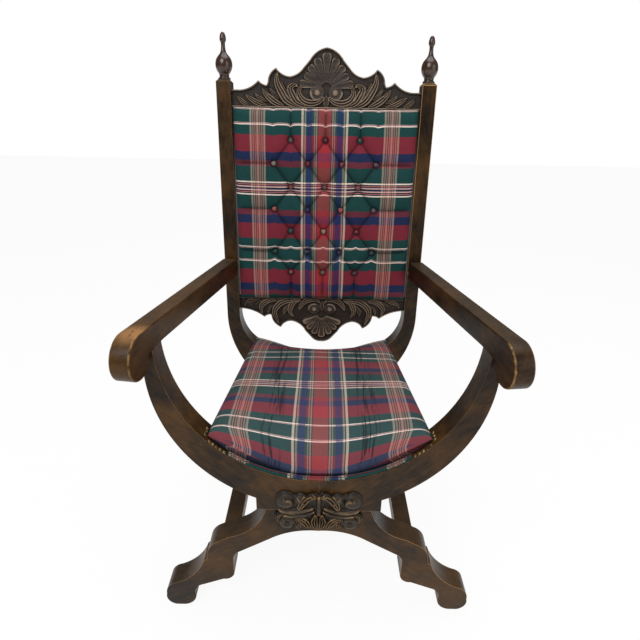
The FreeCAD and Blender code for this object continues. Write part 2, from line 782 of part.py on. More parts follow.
def add_dowels(parts):
    front_middle = front_board / 2
    rear_middle = rear_board / 2
    up = Vec(0, 0, 1)
    back = Vec(0, 1, 0)
    front = hub_dowels(parts, "front", front_middle, (arch_inner_bottom + leg_height) / 2, False)
    rear = hub_dowels(parts, "rear", rear_middle, (rear_inner_bottom + leg_height) / 2, True)
    arms, stretchers, rails = [], [], []
    for side, ending in ((-1, "_left"), (1, "_right")):
        rear.append(drilled(parts, ["rear_post" + ending, "rear_arch" + ending],
                            Vec(side * post_middle, rear_middle, post_joint), up, True))
        arms.append(drilled(parts, ["arm" + ending, "rear_post" + ending],
                            Vec(side * post_middle, -rear_middle / 2, arm_top_rear - arm_depth_rear / 2),
                            back, True))
        arms.append(drilled(parts, ["arm" + ending, "front_arch" + ending],
                            Vec(side * (arch_inner_top + arch_outer_top) / 2, front_middle, arch_top), up))
        stretcher_x = side * stretcher_place_shares[0] * leg_reach
        level = stretcher_place_shares[1] * leg_height
        stretchers.append(drilled(parts, ["side_stretcher" + ending, "front_leg" + ending],
                                  Vec(stretcher_x, front_board, level), back))
        stretchers.append(drilled(parts, ["side_stretcher" + ending, "rear_leg" + ending],
                                  Vec(stretcher_x, 0, level), back, True))
        for frame_name, depth, leaned in (("front", front_board, False), ("rear", rear_run, True)):
            rail_x = side * (rail_half(depth) - seat_rail_thickness / 2)
            rail_level = rail_top(depth, rail_half(depth)) - seat_rail_depth / 2
            rails.append(drilled(parts, ["seat_rail" + ending, frame_name + "_arch" + ending],
                                 Vec(rail_x, 0 if leaned else depth, rail_level), back, leaned))
    parts["front_frame_dowels"] = Part.makeCompound(front)
    parts["rear_frame_dowels"] = Part.makeCompound(rear)
    parts["arm_dowels"] = Part.makeCompound(arms)
    parts["stretcher_dowels"] = Part.makeCompound(stretchers)
    parts["seat_rail_dowels"] = Part.makeCompound(rails)


def side_stretcher():
    middle = stretcher_place_shares[0] * leg_reach
    level = stretcher_place_shares[1] * leg_height
    bar = Part.makeBox(stretcher_width, rear_foot_back, stretcher_height,
                       Vec(middle - stretcher_width / 2, front_board, level - stretcher_height / 2))
    return bar.cut(behind_rear_plane())


def bore_for_tenon(post):
    """A hole in the post's top for the finial's tenon."""
    hole = Part.makeCylinder(finial_tenon_radius + fit_gap, finial_tenon_length + fit_gap,
                             Vec(post_middle, rear_board / 2, post_top - finial_tenon_length - fit_gap))
    return post.cut(lean(hole))


def build():
    parts = {
        "front_arch_right": front_arch_half(),
        "front_leg_right": leg_half(front_board),
        "rear_arch_right": lean(rear_arch_half()),
        "rear_post_right": bore_for_tenon(lean(rear_post_half())),
        "rear_leg_right": floor_trim(lean(leg_half(rear_board, sole_allowance))),
        "arm_right": arm_half(),
        "side_stretcher_right": side_stretcher(),
        "seat_rail_right": side_rail(),
        "seat_side_panel_right": side_panel(),
        "back_stile_right": back_stile(),
        "finial_right": finial(),
    }
    for name in list(parts):
        parts[name.replace("_right", "_left")] = mirrored(parts[name])

    pad = crowned_pad()
    parts["front_boss_carving"] = boss()
    parts["crest_rail"] = carved_rail(crest_outline_shares, crest_rise, crest_bottom, crest_board)
    parts["lower_back_rail"] = carved_rail(lower_outline_shares, lower_rail_drop, lower_rail_top,
                                           lower_rail_board)
    parts["back_frame_top_rail"] = back_cross_rail(crest_bottom - fit_gap - back_frame_width)
    parts["back_frame_bottom_rail"] = back_cross_rail(lower_rail_top + fit_gap)
    parts["back_webbing"] = back_webbing()
    parts["back_pad"] = tufted_pad(pad)
    parts["back_tuft_buttons"] = tuft_buttons(pad)
    parts["outside_back_cover"] = outside_back()
    parts["seat_webbing"] = seat_webbing()
    parts["seat_pad"] = seat_pad()
    parts["seat_dust_cover"] = dust_cover()
    parts["seat_front_welt"] = Part.makeCompound([welt(row) for row in range(welt_rows)])
    parts["seat_nails_front"] = front_nails()
    parts["seat_nails_rear"] = rear_nail_row()
    parts["seat_nails_side"] = side_panel_nails()
    add_dowels(parts)
    return parts


def export(parts):
    for name, shape in parts.items():
        placed = shape.copy()
        placed.translate(Vec(0, front_face, 0))
        placed.exportStep("parts/" + name + ".step")
        box = placed.BoundBox
        print(name, placed.isValid(), len(placed.Solids), round(placed.Volume / 1000.0, 1),
              [round(v, 1) for v in (box.XMin, box.XMax, box.YMin, box.YMax, box.ZMin, box.ZMax)])


export(build())
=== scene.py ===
import math
import bmesh
import bpy
import numpy as np
from mathutils import Matrix, Vector


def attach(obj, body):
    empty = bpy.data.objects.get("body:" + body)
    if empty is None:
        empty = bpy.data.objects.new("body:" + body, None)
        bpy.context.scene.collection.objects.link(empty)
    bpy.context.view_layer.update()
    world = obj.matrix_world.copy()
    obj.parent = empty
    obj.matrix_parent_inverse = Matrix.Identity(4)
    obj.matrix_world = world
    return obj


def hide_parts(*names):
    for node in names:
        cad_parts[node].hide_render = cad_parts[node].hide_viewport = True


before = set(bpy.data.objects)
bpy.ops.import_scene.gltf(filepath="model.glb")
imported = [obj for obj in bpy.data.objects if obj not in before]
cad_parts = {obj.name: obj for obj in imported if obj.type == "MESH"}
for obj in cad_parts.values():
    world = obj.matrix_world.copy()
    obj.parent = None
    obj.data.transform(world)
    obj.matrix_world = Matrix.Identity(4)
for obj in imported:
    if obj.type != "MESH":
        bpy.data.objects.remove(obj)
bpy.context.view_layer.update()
scene = bpy.context.scene
mm = 0.001
farAway = 1e9  # more than any distance on the chair, in millimetres
bothSides = ((-1, "left"), (1, "right"))


# materials: wires and finishes


def colour(red, green, blue, alpha=1.0):
    # a colour as seen on screen, 0 to 255, turned into linear light
    shown = [part / 255 for part in (red, green, blue)]
    return (*(c / 12.92 if c <= 0.04045 else ((c + 0.055) / 1.055) ** 2.4 for c in shown), alpha)


class Wire:
    # one output socket of a material; arithmetic on wires adds Math nodes
    def __init__(self, finish, socket):
        self.finish, self.socket = finish, socket

    def calc(self, operation, *others):
        return self.finish.node("Math", {"operation": operation}, (self, *others))

    def __add__(self, other):
        return self.calc("ADD", other)

    def __sub__(self, other):
        return self.calc("SUBTRACT", other)

    def __rsub__(self, other):
        return self.finish.node("Math", {"operation": "SUBTRACT"}, (other, self))

    def __mul__(self, other):
        return self.calc("MULTIPLY", other)

    def __truediv__(self, other):
        return self.calc("DIVIDE", other)

    __radd__, __rmul__ = __add__, __mul__

    def between(self, low, high):
        # 0 below low, 1 above high, eased in the middle
        return self.finish.node("MapRange", {"interpolation_type": "SMOOTHSTEP"},
                                {"Value": self, "From Min": low, "From Max": high})

    def sibling(self, name):
        # another output of the same node
        return Wire(self.finish, self.socket.node.outputs[name])


class Finish:
    # a material, or the world, that is built node by node
    def __init__(self, name, kind="materials"):
        self.made = getattr(bpy.data, kind).new(name)
        self.made.use_nodes = True
        self.tree = self.made.node_tree
        self.tree.nodes.clear()

    def node(self, kind, settings=(), inputs=(), output=0):
        # the settings first, a ramp's stops among them, then the values or links of the sockets
        made = self.tree.nodes.new("ShaderNode" + kind)
        for name, value in dict(settings).items():
            if name == "stops":
                ramp = made.color_ramp
                ramp.interpolation = "CONSTANT"
                ramp.elements.remove(ramp.elements[-1])
                for index, (position, shade) in enumerate(value):
                    stop = ramp.elements.new(position) if index else ramp.elements[0]
                    stop.position, stop.color = position, shade
            else:
                setattr(made, name, value)
        for name, value in inputs.items() if isinstance(inputs, dict) else enumerate(inputs):
            if isinstance(value, Wire):
                self.tree.links.new(value.socket, made.inputs[name])
            else:
                made.inputs[name].default_value = value
        return Wire(self, made.outputs[output]) if made.outputs else None

    def place(self):
        return self.node("TexCoord", output="Object")

    def painted(self, name, output="Fac"):
        # a value that the mesh carries at its points
        return self.node("Attribute", {"attribute_name": name}, output=output)

    def drawnOut(self, vector, turn, length):
        # the upright axis is turned to the given direction and everything is drawn out along it
        return self.node("Mapping", {"vector_type": "TEXTURE"},
                         {"Vector": vector, "Rotation": turn, "Scale": (1, 1, length)})

    def noise(self, vector, scale, detail=3.0, roughness=0.55, output=0, finer=None):
        # finer says how many times closer the pattern lies along each axis
        if finer:
            vector = self.node("Mapping", {"vector_type": "POINT"}, {"Vector": vector, "Scale": finer})
        return self.node("TexNoise", {}, {"Vector": vector, "Scale": scale, "Detail": detail,
                                          "Roughness": roughness}, output)

    def mix(self, factor, first, second, blend="MIX"):
        settings = {"data_type": "RGBA", "blend_type": blend}
        return self.node("Mix", settings, {0: factor, 6: first, 7: second}, 2)

    def bump(self, height, strength, distance, below=None):
        inputs = {"Strength": strength, "Distance": distance, "Height": height}
        return self.node("Bump", {}, {**inputs, "Normal": below} if below else inputs)

    def done(self, **sockets):
        # the last nodes: a Principled BSDF with these sockets, and the output
        sockets = {name.replace("_", " "): value for name, value in sockets.items()}
        shader = self.node("BsdfPrincipled", {}, sockets)
        self.node("OutputMaterial", {}, {"Surface": shader})
        return self.made


# meshes: grids and how they close


layerKinds = dict.fromkeys(("cloth", "tint"), ("FLOAT_VECTOR", "vector", 3))


def joined(parts, width):
    # arrays of any shape, one after the other, as rows of so many numbers
    return np.concatenate([np.reshape(part, (-1, width)) for part in parts])


def placed(name, mesh, material):
    mesh.materials.append(material)
    piece = bpy.data.objects.new(name, mesh)
    scene.collection.objects.link(piece)
    return piece


def meshPiece(name, places, faces, material, layers=(), smooth=True):
    # parts of places (metres) and faces become an object; layers are parts of values that its points carry
    mesh = bpy.data.meshes.new(name)
    mesh.from_pydata(joined(places, 3).tolist(), [], faces)
    for layer, values in dict(layers).items():
        kind, field, width = layerKinds.get(layer, ("FLOAT", "value", 1))
        values = joined(values, width).astype(np.float32)
        mesh.attributes.new(layer, kind, "POINT").data.foreach_set(field, values.ravel())
    mesh.polygons.foreach_set("use_smooth", [smooth] * len(mesh.polygons))
    mesh.update()
    return placed(name, mesh, material)


def finished(piece, node):
    # every piece of the chair rides on its one body and stands for a node of the CAD
    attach(piece, "root")
    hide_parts(node)


def pointsOutward(piece):
    # turns all faces outward once doubles are merged
    shape = bmesh.new()
    shape.from_mesh(piece.data)
    bmesh.ops.remove_doubles(shape, verts=shape.verts, dist=1e-6)
    bmesh.ops.recalc_face_normals(shape, faces=shape.faces)
    shape.to_mesh(piece.data)
    shape.free()
    return piece


def gridFaces(rows, columns, closedAcross=False, closedAlong=False, offset=0, flipped=False):
    # quads between neighbouring points of a grid of rows by columns
    index = np.arange(rows * columns).reshape(rows, columns) + offset
    if closedAcross:
        index = np.concatenate([index, index[:, :1]], axis=1)
    if closedAlong:
        index = np.concatenate([index, index[:1]])
    quads = np.stack([index[:-1, :-1], index[:-1, 1:], index[1:, 1:], index[1:, :-1]], axis=-1).reshape(-1, 4)
    return (quads[:, ::-1] if flipped else quads).tolist()


def fan(pole, first, count, flipped=False):
    # triangles from a pole to a ring of so many points, counted from the first
    ring = first + np.arange(count)
    pair = [np.roll(ring, -1), ring] if flipped else [ring, np.roll(ring, -1)]
    return np.stack([np.full(count, pole), *pair], axis=1).tolist()


def rimOf(rows, columns):
    # the outer points of a grid, once round
    index = np.arange(rows * columns).reshape(rows, columns)
    return np.concatenate([index[0], index[1:, -1], index[-1, -2::-1], index[-2:0:-1, 0]])


def wall(rim, other):
    # quads between two rings of points
    return np.stack([rim, other, np.roll(other, -1), np.roll(rim, -1)], axis=1).tolist()


def slab(name, front, rear, material, layers=()):
    # two grids of the same size, one behind the other, joined round their rims
    rows, columns = front.shape[:2]
    count, rim = rows * columns, rimOf(rows, columns)
    faces = gridFaces(rows, columns) + gridFaces(rows, columns, offset=count, flipped=True)
    return pointsOutward(meshPiece(name, [front, rear], faces + wall(rim, rim + count), material, layers))


def circle(sides):
    return np.linspace(0, 2 * math.pi, sides, endpoint=False)


def domeRings(rings, sides, fullness=1.0):
    # two ways across and one out: the radius falls as a power of the cosine, the height rises as the sine
    turn = circle(sides)
    rise = np.linspace(0, math.pi / 2, rings + 1)[:-1, None]
    radius = np.cos(rise) ** fullness
    return radius * np.cos(turn), radius * np.sin(turn), np.sin(rise) + 0 * turn


def domeFaces(rings, sides, offset):
    # the grid of the rings and the fan to the pole that follows them
    faces = gridFaces(rings, sides, closedAcross=True, offset=offset)
    return faces + fan(offset + rings * sides, offset + (rings - 1) * sides, sides)


def runningLength(steps, axis):
    # sums of the steps along one way of a grid, from 0
    return np.pad(np.cumsum(steps, axis=axis), [(1, 0), (0, 0)] if axis == 0 else [(0, 0), (1, 0)])


def ease(value, start, run):
    # rises evenly from 0 at the start to 1 after the run
    return np.clip((value - start) / run, 0, 1)


def halfRound(distance, radius, height):
    # a circle's arc seen from the side: height times the root of 1 less the square of distance by radius
    return height * np.sqrt(np.clip(1 - (distance / radius) ** 2, 0, 1))


# the rear frame is drawn upright, in millimetres across, behind its front plane and up, and then leaned;
# the front frame and the seat stay upright, and count their depth from the front frame's face

lean = dict(rake=math.radians(4.0), footBack=462.0, frontFace=-253.6254)


def leaned(x, behind, up):
    # depth = behind * cos + up * sin + foot; height = up * cos - behind * sin
    turn = lean["rake"]
    depth = behind * math.cos(turn) + up * math.sin(turn) + lean["footBack"] + lean["frontFace"]
    height = up * math.cos(turn) - behind * math.sin(turn)
    return np.stack(np.broadcast_arrays(x, depth, height), axis=-1) * mm


def upright(x, behind, up):
    return np.stack(np.broadcast_arrays(x, behind + lean["frontFace"], up), axis=-1) * mm


# camera, at the height and pitch of the photograph

camera = dict(place=(-4.5, lean["frontFace"] - 732.45, 1038.75), pitch=25.0, roll=1.1,
              focal=500.0, frameWidth=640.0, sensor=36.0, nearest=0.05)


def makeCamera():
    # the axes are the floor's, pitched down and then rolled
    pitch, roll = math.radians(camera["pitch"]), math.radians(camera["roll"])
    ahead = Vector((0, math.cos(pitch), -math.sin(pitch)))
    level, above = Vector((1, 0, 0)), Vector((0, math.sin(pitch), math.cos(pitch)))
    right = level * math.cos(roll) + above * math.sin(roll)
    up = above * math.cos(roll) - level * math.sin(roll)
    data = bpy.data.cameras.new("camera")
    data.lens = camera["focal"] / camera["frameWidth"] * camera["sensor"]
    data.sensor_width, data.clip_start = camera["sensor"], camera["nearest"]
    holder = bpy.data.objects.new("camera", data)
    turned = Matrix((right, up, -ahead)).transposed().to_4x4()
    holder.matrix_world = Matrix.Translation(Vector(camera["place"]) * mm) @ turned
    scene.collection.objects.link(holder)
    scene.camera = holder


makeCamera()
print("camera placed")


# wood

wood = dict(
    dark=colour(20, 13, 7), middle=colour(50, 34, 16), warm=colour(90, 60, 23), pore=colour(15, 10, 6),
    # the dust colour on the next line is partly dust and partly painted sheen, laid on faces turned up
    worn=colour(182, 138, 84), dust=colour(98, 80, 62), scuff=colour(170, 122, 74),
    roughness=(0.3, 0.48), coat=0.09, coatRoughness=0.2, shine=0.16, wander=0.035, grainLength=16.0)


def stainedWood(name, grainTurn, scuffAt=None):
    # dark stain over open grain, amber where it is thin, rubbed pale along the arrises, with dust and painted
    # sheen on faces turned up
    finish = Finish(name)
    place = finish.place()
    wander = finish.noise(place, 9.0, 2.0, output="Color")
    curved = finish.node("VectorMath", {"operation": "MULTIPLY_ADD"}, [wander, (wood["wander"],) * 3, place])
    alongGrain = finish.drawnOut(curved, grainTurn, wood["grainLength"])
    streaks = finish.noise(alongGrain, 150.0, 6.0, 0.62)
    fibres = finish.noise(alongGrain, 620.0, 3.0, 0.6)
    clouds = finish.noise(place, 5.5, 4.0, 0.6)
    patches = finish.noise(place, 19.0, 3.0, 0.5)
    mottle = finish.noise(finish.drawnOut(place, grainTurn, 3.0), 95.0, 5.0, 0.68)
    chips = finish.noise(place, 85.0, 4.0, 0.7)
    base = finish.mix((0.55 * streaks + 0.45 * mottle).between(0.38, 0.64), wood["dark"], wood["middle"])
    amber = (clouds + 0.35 * patches).between(0.56, 0.86) * (0.2 + 0.7 * mottle)
    base = finish.mix(amber, base, wood["warm"])
    base = finish.mix(fibres.between(0.54, 0.72) * 0.6, base, wood["pore"])
    up = finish.node("SeparateXYZ", {}, [finish.node("NewGeometry", output="Normal")], "Z")
    # faces turned up are paler: partly dust, partly painted sheen from the light above
    dustAndSheen = up.between(0.7, 1.0) * (0.25 + 0.5 * patches)
    base = finish.mix(dustAndSheen * 0.6, base, wood["dust"])
    if scuffAt:
        # one place where hands have rubbed the stain through
        away = finish.node("VectorMath", {"operation": "DISTANCE"}, [place, scuffAt], "Value")
        thin = (1 - away.between(0.004, 0.042)) * up.between(0.1, 0.6)
        base = finish.mix(thin * (mottle + 0.3 * patches).between(0.42, 0.66) * 0.75, base, wood["scuff"])
    wear = finish.painted("wear")
    rubbed = (wear * wear * 1.15 + chips * 0.9 - 1.02).between(0.0, 0.42)
    base = finish.mix(rubbed * (0.35 + 0.6 * clouds), base, wood["worn"])
    low, high = wood["roughness"]
    relief = finish.bump(fibres * -0.5 + streaks * 0.5 + chips * 0.25, 0.35, 0.0006)
    return finish.done(Base_Color=base, Roughness=low + (high - low) * patches + 0.12 * rubbed, Normal=relief,
                       Coat_Weight=wood["coat"], Coat_Roughness=wood["coatRoughness"],
                       Specular_IOR_Level=wood["shine"])


def grained(finish, place, scale, low, high, finer):
    # two tones by a drawn-out noise
    grain = finish.noise(place, scale, 5.0, 0.6, finer=finer)
    return grain, finish.mix(grain.between(0.3, 0.7), colour(*low), colour(*high))


# sawn boards: an upward grain is turned by these angles, left and right being mirrored

boards = dict(
    merge=2e-5, flat=math.radians(0.6), support=3.4, rounding=1.3, sharp=math.radians(34),
    shadeSharp=math.radians(40), scuffs={"arm_left": (-0.300, -0.276, 0.677)},
    patch=9.0, patchWear=0.8, worn=("arm_left", "arm_right"),
    grain={"front_arch": (0, 0.85, 0), "front_leg": (0, -0.95, 0), "rear_arch": (0, 0.85, 0),
           "rear_leg": (0, -0.95, 0), "rear_post": (0, 0, 0), "arm": (1.57, 0, 0),
           "side_stretcher": (1.57, 0, 0)})


def easeEdges(shape, width, segments, profile):
    sharp = [edge for edge in shape.edges
             if len(edge.link_faces) == 2 and edge.calc_face_angle(0) > boards["sharp"]]
    return bmesh.ops.bevel(shape, geom=sharp, offset=width * mm, segments=segments, profile=profile,
                           affect="EDGES", clamp_overlap=True)


def roundedBoard(node, grainTurn):
    # the sawn board of the CAD, merged, with eased arrises that carry the wear
    shape = bmesh.new()
    shape.from_mesh(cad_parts[node].data)
    bmesh.ops.remove_doubles(shape, verts=shape.verts, dist=boards["merge"])
    bmesh.ops.dissolve_limit(shape, angle_limit=boards["flat"], verts=shape.verts, edges=shape.edges)
    wear = shape.verts.layers.float.new("wear")
    if node in boards["worn"]:
        # the scroll is already rounded in the solid: the middle points of its rounding touch small faces only
        for vert in shape.verts:
            longest = max(edge.calc_length() for face in vert.link_faces for edge in face.edges)
            vert[wear] = boards["patchWear"] if longest < boards["patch"] * mm else 0.0
    easeEdges(shape, boards["support"], 2, 1.0)
    for vert in easeEdges(shape, boards["rounding"], 3, 0.5)["verts"]:
        vert[wear] = 1.0
    for face in shape.faces:
        face.smooth = True
    mesh = bpy.data.meshes.new(node + "_board")
    shape.to_mesh(mesh)
    shape.free()
    mesh.set_sharp_from_angle(angle=boards["shadeSharp"])
    polish = stainedWood("wood_" + node, grainTurn, boards["scuffs"].get(node))
    finished(placed(node + "_board", mesh, polish), node)


for board, (tilt, swing, spin) in boards["grain"].items():
    for side, word in reversed(bothSides):
        roundedBoard(f"{board}_{word}", (tilt, side * swing, spin))
print("boards eased and stained")


# finials: a turned profile, in millimetres, radius by height above the post

finials = dict(
    sides=40, postMiddle=237.5, postTop=1054.0, axisBehind=22.5,
    # the third colour on the next line is the painted shade in the turning's hollows
    dark=(30, 15, 9), red=(72, 42, 26), paintedShade=colour(24, 14, 9), rubbed=colour(132, 88, 54),
    profile=[(0, 0), (13.6, 0), (14.5, 0.7), (14.5, 2.9), (13.4, 4.0), (11.4, 4.9), (10.9, 6.5), (11.0, 9.0),
             (11.8, 12.0), (13.6, 14.0), (16.8, 19.0), (19.0, 25.5), (19.5, 31.5), (18.9, 38.0), (16.4, 44.5),
             (13.0, 49.0), (9.9, 52.0), (9.2, 53.2), (7.0, 56.0), (5.6, 60.0), (4.8, 66.0), (4.5, 72.0),
             (4.7, 76.5), (5.9, 78.0), (7.2, 80.5), (7.4, 84.5), (6.8, 89.0), (5.6, 93.5), (3.6, 97.0),
             (1.4, 98.0), (0, 98)],
    # how much painted shade the turning gets at these heights, most in its hollows
    waists=[(0, 0.1), (4, 0.5), (6.5, 1), (10, 0.6), (20, 0.0), (50, 0.2), (53.5, 1.0), (57, 0.4), (74, 0.3),
            (77.5, 1.0), (80, 0.1), (98, 0)])


def turnedWood():
    # red-brown polish, with painted shade in the hollows of the turning
    finish = Finish("turned_wood_polish")
    place = finish.place()
    rings = finish.noise(place, 60.0, 4.0, 0.6, finer=(1, 1, 9.0))
    streaks, base = grained(finish, place, 260.0, finials["dark"], finials["red"], (1, 1, 0.12))
    # painted shade in the hollows of the turning
    base = finish.mix(finish.painted("paintedShade") * 0.75, base, finials["paintedShade"])
    base = finish.mix(rings.between(0.6, 0.78) * 0.4, base, finials["rubbed"])
    return finish.done(Base_Color=base, Roughness=0.16 + 0.2 * rings, Coat_Weight=0.35, Coat_Roughness=0.1,
                       Normal=finish.bump(rings + streaks * 0.4, 0.25, 0.0004))


def makeFinial(side, word, polish):
    # profile radii carried round the leaned axis, closed at both poles
    radii, heights = np.array(finials["profile"], float).T
    radii, inner = radii[1:-1, None], heights[1:-1]
    turn = circle(finials["sides"])
    middle, behind, top = side * finials["postMiddle"], finials["axisBehind"], finials["postTop"]
    body = leaned(middle + radii * np.cos(turn), behind + radii * np.sin(turn), top + inner[:, None])
    poles = leaned(middle, behind, top + heights[[0, -1]])
    count, sides = len(inner), finials["sides"]
    total = count * sides
    faces = gridFaces(count, sides, closedAcross=True)
    faces += fan(total, 0, sides, flipped=True) + fan(total + 1, total - sides, sides)
    # painted shade for each ring of points, from the table of heights
    dark = np.repeat(np.interp(inner, *zip(*finials["waists"])), sides)
    piece = meshPiece(f"finial_{word}_turned", [body, poles], faces, polish, {"paintedShade": [dark, [0, 0]]})
    subdivide = piece.modifiers.new("smooth", "SUBSURF")
    subdivide.levels = subdivide.render_levels = 1
    finished(piece, "finial_" + word)


polish = turnedWood()
for side, word in bothSides:
    makeFinial(side, word, polish)
print("finials turned")


# tartan cloth

tartan = dict(
    warpHalf=157.0, weftHalf=164.0, thread=1.7, twill=0.30,
    slub=colour(150, 140, 128), faded=colour(190, 190, 192), streak=colour(30, 30, 34),
    # the next line starts with the colour of the painted shade in creases, round buttons and along seams
    paintedShade=colour(13, 10, 14), grime=colour(64, 52, 50), laneMiddle=95.0, lane=(10.0, 26.0),
    # place across in millimetres, colour, and how much it covers the weft
    warp=[(0, (184, 62, 62), 0.42), (15, (48, 36, 60), 0.55), (17, (206, 188, 172), 0.28),
          (20, (92, 48, 40), 0.4), (22, (206, 188, 172), 0.25), (24.5, (84, 80, 66), 0.2),
          (29, (36, 46, 98), 0.66), (42, (92, 92, 72), 0.3), (44, (206, 188, 172), 0.28),
          (47, (34, 76, 72), 0.4), (49.5, (222, 206, 190), 0.50),
          (54.5, (28, 70, 70), 0.08), (138, (214, 186, 168), 0.32), (142.5, (95, 92, 72), 0.30),
          (145, (214, 186, 168), 0.28), (147.5, (108, 42, 52), 0.45), (150, (214, 186, 168), 0.28),
          (152, (160, 56, 56), 0.40), (154.5, (214, 182, 166), 0.32)],
    weft=[(0, (32, 38, 70), 1), (2.5, (212, 180, 172), 1), (4.5, (60, 34, 60), 1), (8, (196, 128, 126), 1),
          (9.5, (26, 48, 58), 1), (12.5, (228, 210, 200), 1), (16, (26, 66, 66), 1), (51, (104, 42, 58), 1),
          (65, (34, 42, 82), 1), (85, (124, 38, 54), 1), (123, (26, 66, 66), 1), (144, (228, 212, 204), 1),
          (146.2, (90, 48, 70), 1), (147.6, (190, 164, 160), 1), (149, (26, 66, 66), 1)])


def stripes(finish, way, half, rows):
    # the sett runs up to the half repeat and back, over and over
    stops = [(place / half, colour(*shade, cover)) for place, shade, cover in rows]
    return finish.node("ValToRGB", {"stops": stops}, [way.calc("PINGPONG", half) / half])


def tartanCloth(name, waver=0.9, worn=0.0, soil=0.25, fade=0.0):
    # striped weft under striped warp; a fine twill decides which of the two lies on top
    finish = Finish(name)
    place = finish.place()
    sway = finish.noise(place, 14.0, 2.0, output="Color")
    cloth = finish.node("VectorMath", {"operation": "MULTIPLY_ADD"},
                        [sway, (2 * waver, 2 * waver, 0), finish.painted("cloth", "Vector")])
    cloth = finish.node("VectorMath", {"operation": "SUBTRACT"}, [cloth, (waver, waver, 0)])
    across = finish.node("SeparateXYZ", {}, [cloth], "X")
    along = across.sibling("Y")
    warp = stripes(finish, across, tartan["warpHalf"], tartan["warp"])
    weft = stripes(finish, along, tartan["weftHalf"], tartan["weft"])
    twill = ((across + along) / tartan["thread"]).calc("FRACT").calc("PINGPONG", 0.5) * 2
    onTop = warp.sibling("Alpha") + (twill - 0.5) * tartan["twill"]
    shade = finish.mix(onTop.calc("MAXIMUM", 0.0).calc("MINIMUM", 1.0), weft, warp)
    slubs = finish.noise(cloth, 0.9, 3.0, 0.6, finer=(1, 0.12, 1))
    picks = finish.noise(cloth, 0.9, 3.0, 0.6, finer=(0.12, 1, 1))
    shade = finish.mix(0.5 * (slubs + picks - 0.62).between(0.0, 0.5), shade, tartan["slub"], "SOFT_LIGHT")
    shade = finish.mix(fade, shade, tartan["faded"])
    if worn:
        # dark rubbed streaks down the cloth on both sides of the middle
        lane = (across.calc("ABSOLUTE") - tartan["laneMiddle"]).calc("ABSOLUTE")
        crawl = finish.noise(cloth, 0.16, 4.0, 0.65, finer=(0.9, 0.05, 1))
        streak = (1 - lane.between(*tartan["lane"])) * crawl.between(0.49, 0.58)
        shade = finish.mix(streak * worn, shade, tartan["streak"])
    # painted shade in the creases, round the buttons and along the seams, as each mesh gives it
    shade = finish.mix(finish.painted("paintedShade") * 0.78, shade, tartan["paintedShade"])
    grime = finish.noise(place, 6.0, 3.0, 0.6).between(0.5, 0.8) * soil
    shade = finish.mix(grime, shade, tartan["grime"], "SOFT_LIGHT")
    creases = finish.bump(finish.noise(place, 34.0, 3.0, 0.5), 0.25, 0.003)
    relief = finish.bump(twill * 0.6 + slubs * 0.5 + picks * 0.5, 0.35, 0.0005, creases)
    return finish.done(Base_Color=shade, Roughness=0.82 + 0.1 * slubs, Normal=relief, Specular_IOR_Level=0.12)


# back pad, tufted in diamonds

backPad = dict(
    halfWidth=217.6, bottom=527.6, top=995.4, back=11.2, sink=4.0, step=2.0, fill=0.7,
    edge=5.0, crown=25.0, across=(2.4, 0.75), along=(3.0, 0.6), edgeRound=15.0, fadeOver=1.2,
    # the crease and groove values near the end of the next line set the painted shade along the pleats
    puff=2.6, puffOver=20.0, puffRise=0.7, dimpleCurve=1.2, creaseShade=0.55, grooveShade=0.3, grooveCurve=1.5,
    columns=4, rows=7, columnPitch=81.5, rowPitch=53.4, topRow=925.5,
    groove=5.2, grooveWidth=5.5, dimple=10.5, dimpleWidth=11.0, crease=1.7, ringAt=6.5, ringWidth=3.2,
    # the last value on the next line is the painted shade on the pad's edge wall and rear face
    warpCentre=-2.0, weftCentre=814.2, clothOver=0.35, rearShade=0.6)


def buttonPlaces():
    # rows of three and four by turns: x, level and row
    places = []
    for row in range(backPad["rows"]):
        count, pitch = backPad["columns"] - 1 + row % 2, backPad["columnPitch"]
        level = backPad["topRow"] - row * backPad["rowPitch"]
        places += [((column - (count - 1) / 2) * pitch, level, row) for column in range(count)]
    return np.array(places)


def pleatLines():
    # diagonals between neighbouring buttons, and straight pleats out to the nearest edge
    spots, lines = buttonPlaces(), []
    for x, z, row in spots:
        lines += [(x, z, otherX, otherZ) for otherX, otherZ, otherRow in spots
                  if otherRow == row + 1 and abs(abs(otherX - x) - backPad["columnPitch"] / 2) < 1]
        if row == 0:
            lines.append((x, z, x, backPad["top"]))
        if row == backPad["rows"] - 1:
            lines.append((x, z, x, backPad["bottom"]))
        if row % 2 == 1 and abs(x) > backPad["columnPitch"]:
            lines.append((x, z, math.copysign(backPad["halfWidth"], x), z))
    return lines


def segmentDistance(x, z, line):
    # distance from each point to a straight line, and the share of the line at the nearest place
    x0, z0, x1, z1 = line
    dx, dz = x1 - x0, z1 - z0
    share = np.clip(((x - x0) * dx + (z - z0) * dz) / max(dx * dx + dz * dz, 1e-9), 0, 1)
    return np.hypot(x - x0 - share * dx, z - z0 - share * dz), share


